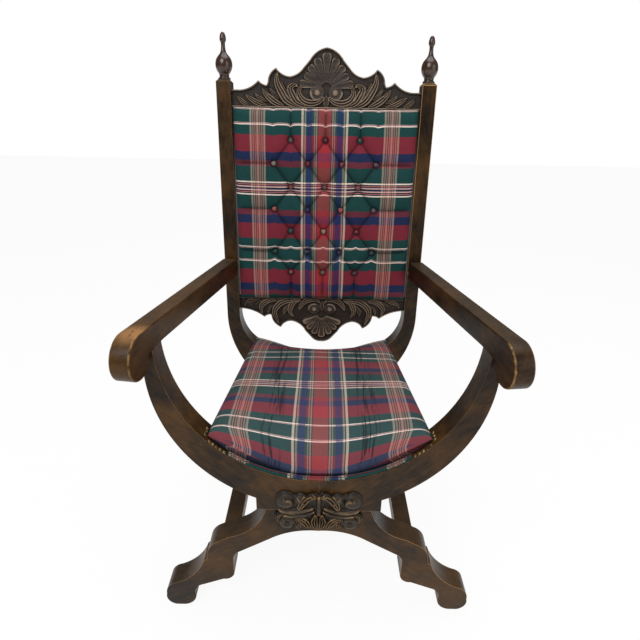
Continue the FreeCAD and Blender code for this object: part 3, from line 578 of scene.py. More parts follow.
def padFront(x, z):
    # height in front of the frame's plane: crown, less grooves that fall off with distance, less button
    # dimples, all rounded off at the edge; and how much painted shade each place gets in the creases and round
    # the buttons
    half, low, high = (backPad[key] for key in ("halfWidth", "bottom", "top"))
    u, v = np.abs(x) / half, np.abs(2 * (z - low) / (high - low) - 1)
    (flatAcross, fallAcross), (flatAlong, fallAlong) = backPad["across"], backPad["along"]
    crown = (backPad["edge"] + backPad["crown"] * np.clip(1 - u ** flatAcross, 0, 1) ** fallAcross
             * np.clip(1 - v ** flatAlong, 0, 1) ** fallAlong)
    near = np.min([segmentDistance(x, z, line)[0] for line in pleatLines()], axis=0)
    reach = np.min([np.hypot(x - bx, z - bz) for bx, bz, _ in buttonPlaces()], axis=0)
    groove = np.exp(-near / backPad["grooveWidth"])
    dimple = np.exp(-(reach / backPad["dimpleWidth"]) ** backPad["dimpleCurve"])
    puff = backPad["puff"] * np.clip(near / backPad["puffOver"], 0, 1) ** backPad["puffRise"]
    inner = np.minimum(half - np.abs(x), np.minimum(z - low, high - z)) / backPad["edgeRound"]
    rim = np.sqrt(np.clip(1 - (1 - np.clip(inner, 0, 1)) ** 2, 0, 1))
    fade = np.clip(inner / backPad["fadeOver"], 0, 1)
    out = crown + puff * fade - (backPad["groove"] * groove + backPad["dimple"] * dimple) * fade
    # painted shade along the creases and grooves, and in a ring round each button
    crease = (backPad["creaseShade"] * np.exp(-(near / backPad["crease"]) ** 2)
              + backPad["grooveShade"] * groove ** backPad["grooveCurve"])
    ring = np.exp(-(np.maximum(reach - backPad["ringAt"], 0) / backPad["ringWidth"]) ** 2)
    paintedShade = np.clip(np.maximum(crease, ring), 0, 1) * fade
    return out * rim - (1 - rim) * (backPad["back"] - backPad["sink"]), paintedShade


def makeBackPad(cloth):
    # a grid over the panel, closed by a wall and a flat rear face; the cloth gives a little over each puff
    half, low, high, step = (backPad[key] for key in ("halfWidth", "bottom", "top", "step"))
    xs = np.linspace(-half, half, int(2 * half / step) + 1)
    zs = np.linspace(low, high, int((high - low) / step) + 1)
    x, z = np.meshgrid(xs, zs)
    out, paintedShade = padFront(x, z)
    rim = rimOf(*x.shape)
    behind = np.arange(len(rim)) + x.size
    faces = gridFaces(*x.shape) + wall(rim, behind) + [behind[::-1].tolist()]
    rise, over = np.diff(z, axis=0), backPad["clothOver"]
    stretch = runningLength(np.hypot(rise, np.diff(out, axis=0)) * over + rise * (1 - over), 0)
    along = stretch - stretch[np.argmin(np.abs(zs - backPad["weftCentre"]))]
    uv = np.stack([x - backPad["warpCentre"], along, 0 * x], axis=-1).reshape(-1, 3)
    rear = leaned(x, backPad["back"], z).reshape(-1, 3)[rim]
    # the edge wall and rear face carry painted shade as well
    piece = meshPiece("tufted_back_pad", [leaned(x, -out, z), rear], faces, cloth,
                      {"cloth": [uv, uv[rim]], "paintedShade": [paintedShade, np.full(len(rim), backPad["rearShade"])]})
    finished(piece, "back_pad")


makeBackPad(tartanCloth("tartan_back"))
print("back pad tufted")


# covered buttons

buttons = dict(
    radius=6.6, height=6.0, rings=5, sides=14, lift=3.4, under=1.5, fullness=0.8, dimmed=0.62,
    pale=colour(178, 160, 145), dark=colour(20, 18, 22),
    shades=[(52, 66, 62), (74, 34, 48), (38, 84, 72), (150, 146, 132), (122, 40, 52), (126, 42, 54),
            (70, 66, 92), (124, 40, 52), (82, 32, 46), (150, 84, 84), (186, 92, 82), (44, 50, 92),
            (188, 96, 84), (96, 90, 106), (38, 92, 92), (176, 150, 120), (118, 38, 50), (36, 84, 72),
            (44, 50, 88), (66, 46, 86), (44, 62, 80), (152, 82, 90), (120, 106, 96), (74, 42, 66)])


def buttonCloth():
    # each button's own scrap of the tartan, with a few paler threads
    finish = Finish("button_cloth_cover")
    place = finish.place()
    threads = finish.noise(place, 900.0, 2.0)
    patch = finish.noise(place, 130.0, 2.0).between(0.5, 0.62)
    shade = finish.mix(patch * 0.3, finish.painted("tint", "Color"), buttons["pale"])
    shade = finish.mix(0.25 * threads, shade, buttons["dark"])
    shade = finish.mix(1.0, shade, (*[buttons["dimmed"]] * 3, 1), "MULTIPLY")
    return finish.done(Base_Color=shade, Roughness=0.7, Specular_IOR_Level=0.3,
                       Normal=finish.bump(threads, 0.5, 0.0004))


def makeButtons():
    # domes on the pad's front, each closed below by a fan to a sunk pole
    rings, sides, height = buttons["rings"], buttons["sides"], buttons["height"]
    ringX, ringZ, ringOut = domeRings(rings, sides, buttons["fullness"])
    count = rings * sides + 2
    places, faces, tints = [], [], []
    for index, ((bx, bz, _), shade) in enumerate(zip(buttonPlaces(), buttons["shades"])):
        base = padFront(np.array([bx]), np.array([bz]))[0][0] + buttons["lift"]
        x = np.append(bx + buttons["radius"] * ringX, [bx, bx])
        z = np.append(bz + buttons["radius"] * ringZ, [bz, bz])
        out = np.append(base + height * ringOut, [base + height, base - buttons["under"]])
        offset = index * count
        faces += domeFaces(rings, sides, offset) + fan(offset + count - 1, offset, sides, flipped=True)
        places.append(leaned(x, -out, z))
        tints.append(np.tile(colour(*shade)[:3], (count, 1)))
    piece = meshPiece("cloth_buttons", places, faces, buttonCloth(), {"tint": tints})
    finished(pointsOutward(piece), "back_tuft_buttons")


makeButtons()
print("buttons covered")


# seat pad: hung between its rails, thick in the middle

seat = dict(
    start=10.6, end=523.6, halfFront=208.0, halfRear=184.0, rearRun=489.52, frontBoard=48.0,
    frontRadius=284.0, frontBottom=358.0, rearRadius=320.6, rearBottom=339.0,
    thick=93.0, side=18.0, roll=37.0, rollShare=0.28, shoulder=1.6, dish=0.6, gap=0.3, fill=0.8,
    # how full the section is at these shares of the depth
    runs=[0.000, 0.010, 0.032, 0.100, 0.240, 0.379, 0.560, 0.735, 0.850, 0.934, 0.985, 1.000],
    shares=[0.10, 0.46, 0.80, 0.935, 0.99, 1.00, 0.985, 0.905, 0.665, 0.34, 0.16, 0.12],
    along=200, across=150, under=50, evenSteps=0.55, crowding=1.15,
    seed=7, ripples=14, rippleHeight=0.35, rippleAcross=0.018, rippleAlong=0.014, rippleTurn=6.28,
    calmSides=6, calmFront=(14, 20), calmRear=(-510, 30),
    weftCentreDepth=205.0, straightTo=62.0, straightOver=45.0, tightFrom=204.0, frontEnd=262.0, pull=2.2,
    # the last two values set the painted shade along the seat's sides, where the cloth turns down to the rails
    underStart=9.0, seamFrom=0.985, seamShade=0.8)


def smoothCurve(at, xs, ys):
    # monotone cubic through given points: slopes are harmonic means of the neighbouring runs
    xs, ys = np.asarray(xs, float), np.asarray(ys, float)
    run = np.diff(xs)
    slope = np.diff(ys) / run
    product, total = slope[1:] * slope[:-1], slope[1:] + slope[:-1]
    inner = np.where(product > 0, 2 * slope[1:] * slope[:-1] / np.where(total == 0, 1, total), 0)
    tangent = np.concatenate([[slope[0]], inner, [slope[-1]]])
    index = np.clip(np.searchsorted(xs, at) - 1, 0, len(run) - 1)
    t = (at - xs[index]) / run[index]
    a, b = tangent[index] * run[index], tangent[index + 1] * run[index]
    return ((2 * t ** 3 - 3 * t ** 2 + 1) * ys[index] + (t ** 3 - 2 * t ** 2 + t) * a
            + (-2 * t ** 3 + 3 * t ** 2) * ys[index + 1] + (t ** 3 - t ** 2) * b)


def halfAt(depth):
    # half the distance between the rails
    return seat["halfFront"] + (seat["halfRear"] - seat["halfFront"]) * depth / seat["rearRun"]


def hungHeight(depth, x):
    # the webbing's arc at each depth, between the front arch's curve and the rear one's
    share = (depth - seat["frontBoard"]) / (seat["rearRun"] - seat["frontBoard"])
    frontEdge, rearEdge = (seat[end + "Bottom"] + seat[end + "Radius"]
                           - math.sqrt(seat[end + "Radius"] ** 2 - seat[half] ** 2)
                           for end, half in (("front", "halfFront"), ("rear", "halfRear")))
    edge = frontEdge + (rearEdge - frontEdge) * share
    middle = seat["frontBottom"] + (seat["rearBottom"] - seat["frontBottom"]) * share
    sag = edge - middle
    radius = (halfAt(depth) ** 2 + sag ** 2) / (2 * sag)
    return middle + radius - np.sqrt(radius ** 2 - x ** 2)


def seatTop(depth, across):
    # across runs -1 to 1; x and height of the cloth: side roll as a quarter round, then a shallow dished top
    full = smoothCurve((depth - seat["start"]) / (seat["end"] - seat["start"]), seat["runs"], seat["shares"])
    half = halfAt(depth) - seat["gap"]
    low = hungHeight(depth, half) + seat["gap"]
    lift, roll = seat["side"] * full, seat["roll"] * full
    crown = hungHeight(depth, 0 * depth) + seat["gap"] + seat["thick"] * full
    a, flatShare = np.abs(across), 1 - seat["rollShare"]
    turn = np.clip((a - flatShare) / seat["rollShare"], 0, 1) * math.pi / 2
    rollX = half - roll * (1 - np.sin(turn))
    rollZ = low + lift * np.cos(turn) ** 0.9 + seat["shoulder"] * full * np.sin(2 * turn)
    flat = np.clip(a / flatShare, 0, 1)
    drop = low + lift - crown
    topZ = crown + drop * flat ** 2 * (3 - 2 * flat) * seat["dish"] + drop * flat ** 2 * (1 - seat["dish"])
    inRoll = a > flatShare
    return np.where(inRoll, rollX, (half - roll) * flat) * np.sign(across), np.where(inRoll, rollZ, topZ)


def seatCloth(x, z, depths, across, depth):
    # millimetres of cloth from the middle and from one depth; straight over the front, then drawn tight
    acrossSum = runningLength(np.hypot(np.diff(x, axis=1), np.diff(z, axis=1)), 1)
    alongSum = runningLength(np.hypot(np.diff(depths, axis=0), np.diff(z, axis=0)), 0)
    v = alongSum - alongSum[np.argmin(np.abs(depth - seat["weftCentreDepth"]))]
    atFront = ease(-depths, -seat["straightTo"], seat["straightOver"]) * (1 - np.abs(across) ** 4)
    v = (1 - atFront) * v + atFront * v[:, v.shape[1] // 2][:, None]
    tight = seat["tightFrom"]
    pulled = np.clip((-v - tight) / (-v.min() - tight), 0, 1) ** seat["pull"]
    return acrossSum - acrossSum[:, -1:] / 2, np.maximum(v, -tight) - (seat["frontEnd"] - tight) * pulled


def makeSeatPad(cloth):
    # rows of sections from front to back; each goes over the top and back along the hung arc
    t, even = np.linspace(0, 1, seat["along"]), seat["evenSteps"]
    run = (even * t + (1 - even) * t * t * (3 - 2 * t)) ** seat["crowding"]
    depth = seat["start"] + (seat["end"] - seat["start"]) * run
    depths, across = np.meshgrid(depth, np.linspace(-1, 1, seat["across"]), indexing="ij")
    x, z = seatTop(depths, across)
    rng = np.random.default_rng(seat["seed"])
    ripple = np.zeros_like(x)
    for _ in range(seat["ripples"]):
        kx, ky = rng.normal(0, seat["rippleAcross"]), rng.normal(0, seat["rippleAlong"])
        ripple += np.sin(kx * x + ky * depths + rng.uniform(0, seat["rippleTurn"]))
    calm = (np.clip((1 - np.abs(across)) * seat["calmSides"], 0, 1) * ease(depths, *seat["calmFront"])
            * ease(-depths, *seat["calmRear"]))
    z = z + seat["rippleHeight"] * ripple * calm
    underDepths, share = np.meshgrid(depth, np.linspace(1, -1, seat["under"])[1:-1], indexing="ij")
    xu = share * (halfAt(underDepths) - seat["gap"])
    zu = hungHeight(underDepths, xu) + seat["gap"]
    loop = upright(*(np.concatenate(pair, axis=1) for pair in ((x, xu), (depths, underDepths), (z, zu))))
    rows, columns = loop.shape[:2]
    faces = gridFaces(rows, columns, closedAcross=True, flipped=True)
    faces += [list(range(columns)), list(range((rows - 1) * columns, rows * columns))[::-1]]
    u, v = seatCloth(x, z, depths, across, depth)
    uv = np.stack([u, v, 0 * u], axis=-1)
    uvUnder = np.stack([xu, np.full_like(xu, v[0].mean() - seat["underStart"]), 0 * xu], axis=-1)
    # painted shade along the sides, where the cloth meets the rails
    sideShade = ease(np.abs(across), seat["seamFrom"], 1 - seat["seamFrom"]) * seat["seamShade"]
    layers = {"cloth": [np.concatenate([uv, uvUnder], axis=1)],
              "paintedShade": [np.concatenate([sideShade, 0 * xu], axis=1)]}
    piece = meshPiece("seat_cushion", [loop], faces, cloth, layers)
    pointsOutward(piece)
    finished(piece, "seat_pad")


makeSeatPad(tartanCloth("tartan_seat", worn=0.75, soil=0.4, fade=0.045))
print("seat pad laid")


# double welt along the front edge

welts = dict(radius=2.6, rows=2, turn=0.6598, pathGap=0.3, rowGap=0.15, sides=12, steps=240, endTurn=0.01,
             least=0.02, swell=(0.03, 60, 0.02, 143), clothStart=30.0, clothStep=9.0)


def makeWelts(cloth):
    # circles carried along the arch's inner curve; the cord's radius swells a little as it goes
    pathRadius = seat["frontRadius"] - welts["radius"] - welts["pathGap"]
    centre = seat["frontBottom"] + seat["frontRadius"]
    steps, sides = welts["steps"], welts["sides"]
    turn = np.linspace(-welts["turn"], welts["turn"], steps)
    turns, rounds = np.meshgrid(turn, circle(sides), indexing="ij")
    ends = np.clip((welts["turn"] - np.abs(turns)) / welts["endTurn"], welts["least"], 1) ** 0.5
    slow, slowTurns, quick, quickTurns = welts["swell"]
    places, faces, uv = [], [], []
    for row in range(welts["rows"]):
        swell = welts["radius"] * (1 + slow * np.sin(turns * slowTurns + row)
                                   + quick * np.sin(turns * quickTurns))
        radius = pathRadius - swell * np.cos(rounds) * ends
        depth = welts["radius"] * (1 + 2 * row) + row * welts["rowGap"] + swell * np.sin(rounds) * ends
        offset = row * turns.size
        places.append(upright(radius * np.sin(turns), depth, centre - radius * np.cos(turns)))
        faces += gridFaces(steps, sides, closedAcross=True, offset=offset)
        ring = np.arange(sides) + offset
        faces += [ring[::-1].tolist(), (ring + turns.size - sides).tolist()]
        lie = welts["clothStart"] + welts["clothStep"] * row + swell * rounds
        uv.append(np.stack([turns * pathRadius + 0.5 * swell * rounds, lie, 0 * turns], axis=-1))
    piece = meshPiece("front_double_welt", places, faces, cloth,
                      {"cloth": uv, "paintedShade": [np.zeros(welts["rows"] * turns.size)]})
    finished(pointsOutward(piece), "seat_front_welt")


makeWelts(tartanCloth("tartan_welt", waver=0.3))
print("welts sewn")


# cloth down the sides of the seat

panels = dict(thick=3.0, flatShare=0.62, belly=0.6, depth=50.0, past=5.0, frontGap=0.4, gap=0.3, webThick=2.5,
              steps=110, rows=14, clothStart=250.0)


def makeSidePanel(side, word, cloth):
    # the strip between the rail's top and bottom edges, doubled at its thickness, swells by a sine in the
    # middle, and ends at the leaned frame
    front, end, gap = seat["frontBoard"], seat["rearRun"] + panels["past"], panels["gap"]
    depth = np.linspace(front + panels["frontGap"], end, panels["steps"])
    depths, levels = np.meshgrid(depth, np.linspace(0, 1, panels["rows"]), indexing="ij")
    half = halfAt(depths) + gap
    z = hungHeight(depths, halfAt(depths)) - panels["depth"] * levels + gap
    reach = (lean["footBack"] + z * math.tan(lean["rake"]) - gap - front) / (end - front)
    depths = front + (depths - front) * np.minimum(reach, 1)
    flat = panels["flatShare"]
    outer = half + panels["thick"] * (flat + (1 - flat) * np.sin(math.pi * levels) ** panels["belly"])
    along = np.broadcast_to((depth - seat["weftCentreDepth"])[:, None], depths.shape)
    uv = np.stack([panels["clothStart"] + panels["depth"] * levels, along, 0 * levels], axis=-1)
    piece = slab("side_cloth_" + word, upright(side * outer, depths, z), upright(side * half, depths, z),
                 cloth, {"cloth": [uv, uv], "paintedShade": [np.zeros(2 * depths.size)]})
    finished(piece, "seat_side_panel_" + word)


sideCloth = tartanCloth("tartan_side")
for side, word in bothSides:
    makeSidePanel(side, word, sideCloth)


# linings

linings = dict(backHalf=217.8, backLow=527.2, backHigh=995.8, backBehind=34.2, backThick=1.8, drawn=0.48,
               steps=90, wave=0.25, waveAcross=0.09, waveUp=0.02, back=(30, 26, 24), under=(26, 23, 22),
               coverSteps=(80, 60), coverDrop=20.0, railWidth=22.0, coverEnd=483.6, coverThick=1.2,
               coverWave=0.6, coverRipple=0.05, dust=colour(58, 50, 44))


def darkLining(name, shade):
    # thin black-brown lining with a plain weave
    finish = Finish(name)
    place = finish.place()
    dust = finish.noise(place, 12.0, 4.0, 0.6)
    weave = finish.noise(place, 1300.0, 1.0)
    base = finish.mix(dust.between(0.45, 0.8) * 0.5, colour(*shade), linings["dust"])
    return finish.done(Base_Color=base, Roughness=0.9, Normal=finish.bump(weave + dust * 2, 0.3, 0.0005))


def makeOutsideBack():
    # a lining stretched over the rear of the back frame, drawn in a little between its rails
    half, low, high, behind = (linings["back" + key] for key in ("Half", "Low", "High", "Behind"))
    x, z = np.meshgrid(np.linspace(-half, half, linings["steps"]), np.linspace(low, high, linings["steps"]))
    u, v = x / half, 2 * (z - low) / (high - low) - 1
    drawn = linings["drawn"] * np.clip(1 - u ** 4, 0, 1) * np.clip(1 - v ** 4, 0, 1)
    wave = linings["wave"] * np.sin(x * linings["waveAcross"] + z * linings["waveUp"]) * (1 - u ** 2)
    outer = leaned(x, behind + linings["backThick"] - drawn + wave, z)
    piece = slab("outside_back_lining", leaned(x, behind, z), outer, darkLining("lining_back", linings["back"]))
    finished(piece, "outside_back_cover")


def makeDustCover():
    # an arc between the rails' lower edges at every depth, as the webbing above it hangs
    gap, (rows, columns) = panels["gap"], linings["coverSteps"]
    front = seat["frontBoard"] + panels["frontGap"]
    depth, share = np.meshgrid(np.linspace(front, linings["coverEnd"], rows),
                               np.linspace(-1, 1, columns), indexing="ij")
    x = (halfAt(depth) - linings["railWidth"] - gap) * share
    edge = hungHeight(depth, halfAt(depth)) - panels["webThick"] - gap - panels["depth"]
    low = hungHeight(depth, 0 * depth) - linings["coverDrop"]
    wave = linings["coverWave"] * np.sin(depth * linings["coverRipple"]) * (1 - share ** 2)
    z = low + (edge - low) * share ** 2 + wave
    piece = slab("seat_dust_lining", upright(x, depth, z), upright(x, depth, z - linings["coverThick"]),
                 darkLining("lining_seat", linings["under"]))
    finished(piece, "seat_dust_cover")


makeOutsideBack()
makeDustCover()
print("linings stretched")


# brass nails: one domed head at each place the CAD gives

nails = dict(radius=4.2, height=2.5, rings=4, sides=10, merge=1e-5, bright=colour(150, 124, 86),
             dull=colour(58, 46, 32))


def agedBrass():
    finish = Finish("aged_brass")
    tarnish = finish.noise(finish.place(), 160.0, 4.0, 0.6)
    base = finish.mix(tarnish.between(0.35, 0.65), nails["bright"], nails["dull"])
    return finish.done(Base_Color=base, Metallic=0.7, Roughness=0.32 + 0.25 * tarnish,
                       Normal=finish.bump(tarnish, 0.3, 0.0004))


def islands(node):
    # the separate solids of a CAD node: each one's points, merged
    shape = bmesh.new()
    shape.from_mesh(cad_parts[node].data)
    bmesh.ops.remove_doubles(shape, verts=shape.verts, dist=nails["merge"])
    left, groups = set(shape.verts), []
    while left:
        queue, group = [left.pop()], []
        while queue:
            vert = queue.pop()
            group.append(tuple(vert.co))
            fresh = {edge.other_vert(vert) for edge in vert.link_edges} & left
            left -= fresh
            queue += fresh
        groups.append(np.array(group))
    shape.free()
    return groups


def makeNails(node, brass):
    # for each head: its axis is the thinnest direction of its points, away from its flat base
    rings, sides, height = nails["rings"], nails["sides"], nails["height"] * mm
    ringA, ringB, ringOut = domeRings(rings, sides)
    count = rings * sides + 1
    places, faces = [], []
    for index, group in enumerate(islands(node)):
        centre = group.mean(axis=0)
        axis = np.linalg.svd(group - centre)[2][2]
        reach = (group - centre) @ axis
        if reach.max() < -reach.min():
            axis, reach = -axis, -reach
        base = centre + axis * reach.min()
        across = np.cross(axis, (0.0, 0.0, 1.0) if abs(axis[2]) < 0.8 else (1.0, 0.0, 0.0))
        across /= np.linalg.norm(across)
        flat = ringA[..., None] * across + ringB[..., None] * np.cross(axis, across)
        head = base + nails["radius"] * mm * flat + height * ringOut[..., None] * axis
        places += [head, base + axis * height]
        offset = index * count
        faces += domeFaces(rings, sides, offset) + [[offset + i for i in range(sides)][::-1]]
    piece = meshPiece(node + "_heads", places, faces, brass)
    finished(pointsOutward(piece), node)


brass = agedBrass()
for node in ("seat_nails_front", "seat_nails_rear", "seat_nails_side"):
    makeNails(node, brass)
print("nails driven")


# inner frame, dowels and webbing keep their CAD shape

hidden = dict(
    wood=["seat_rail_left", "seat_rail_right", "back_stile_left", "back_stile_right",
          "back_frame_top_rail", "back_frame_bottom_rail", "front_frame_dowels", "rear_frame_dowels",
          "arm_dowels", "stretcher_dowels", "seat_rail_dowels"],
    jute=["back_webbing", "seat_webbing"],
    rawWood=((120, 92, 62), (164, 132, 92)), strap=((120, 92, 58), (178, 148, 104)))


def plainWood():
    finish = Finish("inner_wood_raw")
    grain, base = grained(finish, finish.place(), 130.0, *hidden["rawWood"], (1, 1, 0.1))
    return finish.done(Base_Color=base, Roughness=0.7, Normal=finish.bump(grain, 0.3, 0.0005))


def juteStrap():
    finish = Finish("jute_strap")
    place = finish.place()
    wave = finish.node("TexWave", {"bands_direction": "DIAGONAL"},
                       {"Vector": place, "Scale": 220.0, "Distortion": 1.0})
    dark, pale = hidden["strap"]
    base = finish.mix(wave * 0.5 + finish.noise(place, 40.0, 4.0) * 0.4, colour(*dark), colour(*pale))
    return finish.done(Base_Color=base, Roughness=0.9, Normal=finish.bump(wave, 0.5, 0.0008))


for kind, material in (("wood", plainWood()), ("jute", juteStrap())):
    for node in hidden[kind]:
        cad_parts[node].data.materials.clear()
        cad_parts[node].data.materials.append(material)


# carving: relief over the sawn outline

carving = dict(
    height=5.6, ground=7.8, columns=421, rows=130, spread=1.18, soften=26, rimLift=0.95, edgeRound=1.4,
    edgeDrop=1.12, wallSteps=4, sharp=math.radians(62), flatFront=0.5, least=5.0, fine=700, near=14.0,
    # rub with painted highlight, and painted shade: a start, what lift adds, and from what height the rub and
    # highlight set in
    rubHighlightFrom=0.38, rubHighlightGain=2.6, shadeFrom=0.66, shadeGain=1.7, topGain=1.5, topFrom=0.35,
    # the last two colours: tan of the rub and painted highlight on high places, and the painted shade of the
    # ground
    low=(44, 36, 30), middle=(70, 58, 49), high=(156, 134, 112), paintedShade=colour(13, 10, 9))

# lobes: angle and tip; leaves: width, height as a share of the relief, and a line from root to tip
crest = dict(
    name="carved_crest", node="crest_rail", base=996.0, sign=1, front=6.0, back=32.0,
    rim=3.4, fillet=3.2, filletLift=0.95, volute=((21, 33), 15),
    shell=dict(centre=(0, 42), base=15, over=0.4, flute=0.45,
               lobes=[(0, 76), (20, 68), (40, 63), (60, 59), (80, 64)]),
    leaves=[(7.6, 1, [(8, 21), (21, 13), (40, 11), (56, 18), (64, 32), (59, 44), (50, 50)]),
            (8.0, 1, [(53, 5.5), (70, 14), (80, 30), (84, 42), (74, 49), (64, 44)]),
            (8.6, 1, [(71, 4), (92, 16), (106, 36), (115, 56), (113, 78)]),
            (5.0, 0.9, [(88, 22), (98, 36), (104, 50), (101, 58)]),
            (4.6, 0.85, [(78, 22), (88, 38), (93, 52)]),
            (7.4, 1, [(103, 4), (122, 13), (140, 28), (150, 42)]),
            (4.6, 0.85, [(112, 20), (124, 32), (134, 44)]),
            (6.0, 1, [(142, 4), (160, 9), (178, 19), (190, 27)]),
            (4.4, 0.85, [(140, 14), (156, 20), (168, 31)]),
            (5.0, 0.9, [(184, 5), (196, 12), (208, 24)]), (6.5, 0.85, [(0, 3), (0, 14), (0, 29)])])
lowerRail = dict(
    name="carved_lower_rail", node="lower_back_rail", base=527.0, sign=-1, front=6.0, back=30.0,
    rim=3.2, fillet=3.0, filletLift=0.8, volute=((21, 32), 14),
    shell=dict(centre=(0, 46), lobes=[(0, 68), (21, 62), (42, 58), (63, 57)], base=14, over=0.3, flute=0.8),
    leaves=[(7.0, 1, [(60, 30), (50, 14), (33, 5), (15, 6), (4, 16)]),
            (7.4, 1, [(60, 6), (76, 12), (85, 30), (85, 44), (76, 54)]),
            (8.2, 1, [(64, 6), (96, 9), (118, 22), (128, 42), (122, 62), (116, 78)]),
            (5.0, 0.85, [(90, 22), (100, 36), (104, 52)]),
            (7.2, 1, [(128, 6), (150, 12), (164, 28), (160, 50)]),
            (4.4, 0.85, [(132, 22), (142, 34), (146, 46)]),
            (5.0, 0.9, [(107, 5), (142, 9), (168, 14), (184, 26)]),
            (5.4, 0.9, [(170, 5), (190, 9), (204, 16), (208, 27)]), (6.0, 0.8, [(0, 12), (0, 26), (0, 38)])])


def carvedWood(name, low, middle, high):
    # near-black painted shade in the hollows, tan where hands and polish have rubbed the high places, with
    # painted highlight there too
    finish = Finish(name)
    place = finish.place()
    patch = finish.noise(place, 38.0, 4.0, 0.6)
    grain, base = grained(finish, place, 160.0, low, middle, (0.1, 1, 1))
    # painted shade in the hollows, then the rub and painted highlight on the high places
    base = finish.mix(finish.painted("paintedShade") * 0.72, base, carving["paintedShade"])
    rubbed = (finish.painted("rubHighlight") * 1.2 + patch * 0.7 - 0.66).between(0.0, 0.6)
    base = finish.mix(rubbed * 0.62, base, colour(*high))
    return finish.done(Base_Color=base, Roughness=0.4 + 0.2 * patch, Specular_IOR_Level=0.35,
                       Normal=finish.bump(grain + patch * 0.6, 0.3, 0.0005))


def strokeDistance(x, z, path):
    # nearest distance to a bent line, and the share of its length at the nearest place
    lengths = np.hypot(*np.diff(path, axis=0).T)
    total, done = lengths.sum(), 0.0
    best, share = np.full(x.shape, farAway), np.zeros(x.shape)
    for start, end, length in zip(path[:-1], path[1:], lengths):
        d, t = segmentDistance(x, z, (*start, *end))
        closer = d < best
        best = np.where(closer, d, best)
        share = np.where(closer, (done + t * length) / total, share)
        done += length
    return best, share


def bent(points, steps=8):
    # a smooth line through the points: each run is a cubic that blends the four nearest of them, its slope
    # at either end being half the step between the points on both sides
    points = np.array(points, float)
    padded = np.concatenate([2 * points[:1] - points[1:2], points, 2 * points[-1:] - points[-2:-1]])
    t = np.linspace(0, 1, steps, endpoint=False)[:, None]
    runs = [0.5 * (2 * p1 + (p2 - p0) * t + (2 * p0 - 5 * p1 + 4 * p2 - p3) * t ** 2
                   + (3 * p1 - p0 - 3 * p2 + p3) * t ** 3)
            for p0, p1, p2, p3 in zip(padded[:-3], padded[1:-2], padded[2:-1], padded[3:])]
    return np.concatenate(runs + [points[-1:]])


strokes = dict(
    # along a ridge or a leaf: where its width starts from and how full it is; across a leaf: edge and crests
    ridgeEnds=0.02, ridgeFull=0.6, leafRun=0.86, leafStart=0.14, leafLeast=0.04, leafFull=0.75, least=0.3,
    leafEdge=1.06, leafFall=0.16, leafMean=0.68, leafCrest=0.32,
    # a lobe of the shell: width, edge, where it starts, its reach in degrees, its height at base and tip
    lobe=0.95, lobeLeast=0.4, lobeEdge=1.04, lobeFall=0.14, lobeStart=0.8, lobeReach=50, lobeLow=0.76,
    lobeRise=0.24,
    # a volute's eye, band and plate as shares of its radius and height; the band is strongest outward
    eye=0.64, band=0.26, bandHeight=0.8, bandMean=0.45, bandGain=0.9, outward=(0.6, 0.8), plate=1.2,
    plateFall=3, plateHeight=0.52)


def ridge(x, z, width, height, points, taper=0.5):
    # a rounded cord: half-round across, thinner towards its ends
    d, t = strokeDistance(x, z, bent(points))
    t = np.clip(t, strokes["ridgeEnds"], 1 - strokes["ridgeEnds"])
    return halfRound(d, width * (1 - taper + taper * np.sin(math.pi * t) ** strokes["ridgeFull"]), height)


def leaf(x, z, width, height, points):
    # a gouged leaf, pointed at its tip: across it the height follows a cosine with three crests
    d, t = strokeDistance(x, z, bent(points))
    swell = np.sin(math.pi * np.clip(t * strokes["leafRun"] + strokes["leafStart"], 0, 1))
    w = carving["spread"] * width * np.clip(swell, strokes["leafLeast"], 1) ** strokes["leafFull"]
    q = d / np.maximum(w, strokes["least"])
    crests = strokes["leafMean"] + strokes["leafCrest"] * np.cos(3 * math.pi * np.clip(q, 0, 1))
    return height * np.clip((strokes["leafEdge"] - q) / strokes["leafFall"], 0, 1) * crests


def shellFan(x, z, height, centre, lobes, base, over, flute):
    # lobes spread round a centre: each is a raised rim round a hollow flute, highest at its round tip
    dx, dz = x - centre[0], z - centre[1]
    distance, turn = np.hypot(dx, dz), np.degrees(np.arctan2(dx, dz))
    spread = (lobes[1][0] - lobes[0][0]) / 2
    relief = np.zeros(x.shape)
    for angle, tip in lobes:
        off = turn - angle
        along = distance * np.cos(np.radians(off))
        aside = distance * np.sin(np.radians(np.clip(off, -90, 90)))
        half = np.maximum(along, base) * math.tan(math.radians(spread)) * strokes["lobe"]
        tipRound = np.clip((tip - along) / np.maximum(half, 1), 0, 1)
        half = half * np.sqrt(np.clip(1 - (1 - tipRound) ** 2, 0, 1))
        q = np.abs(aside) / np.maximum(half, strokes["lobeLeast"])
        body = (np.clip((strokes["lobeEdge"] - q) / strokes["lobeFall"], 0, 1)
                * (along > base * strokes["lobeStart"]) * (along < tip) * (np.abs(off) < strokes["lobeReach"]))
        dish = flute + (1 - flute) * np.clip(q, 0, 1) ** 3
        rise = (height + over) * (strokes["lobeLow"] + strokes["lobeRise"] * ease(along, base, tip - base))
        relief = np.maximum(relief, rise * body * dish)
    return relief


def volute(x, z, height, centre, radius):
    # a round eye inside a groove and a scroll band that is strongest below and outward of it
    dx, dz = x - centre[0], z - centre[1]
    distance = np.hypot(dx, dz)
    sideways, down = strokes["outward"]
    outward = (dx * sideways - dz * down) / np.maximum(distance, 0.1)
    band = halfRound(distance - radius, radius * strokes["band"], height * strokes["bandHeight"])
    band = band * np.clip(strokes["bandMean"] + strokes["bandGain"] * outward, 0, 1)
    plate = height * strokes["plateHeight"]
    plate = plate * np.clip((radius * strokes["plate"] - distance) / strokes["plateFall"], 0, 1)
    return np.max([halfRound(distance, radius * strokes["eye"], height), band, plate], axis=0)


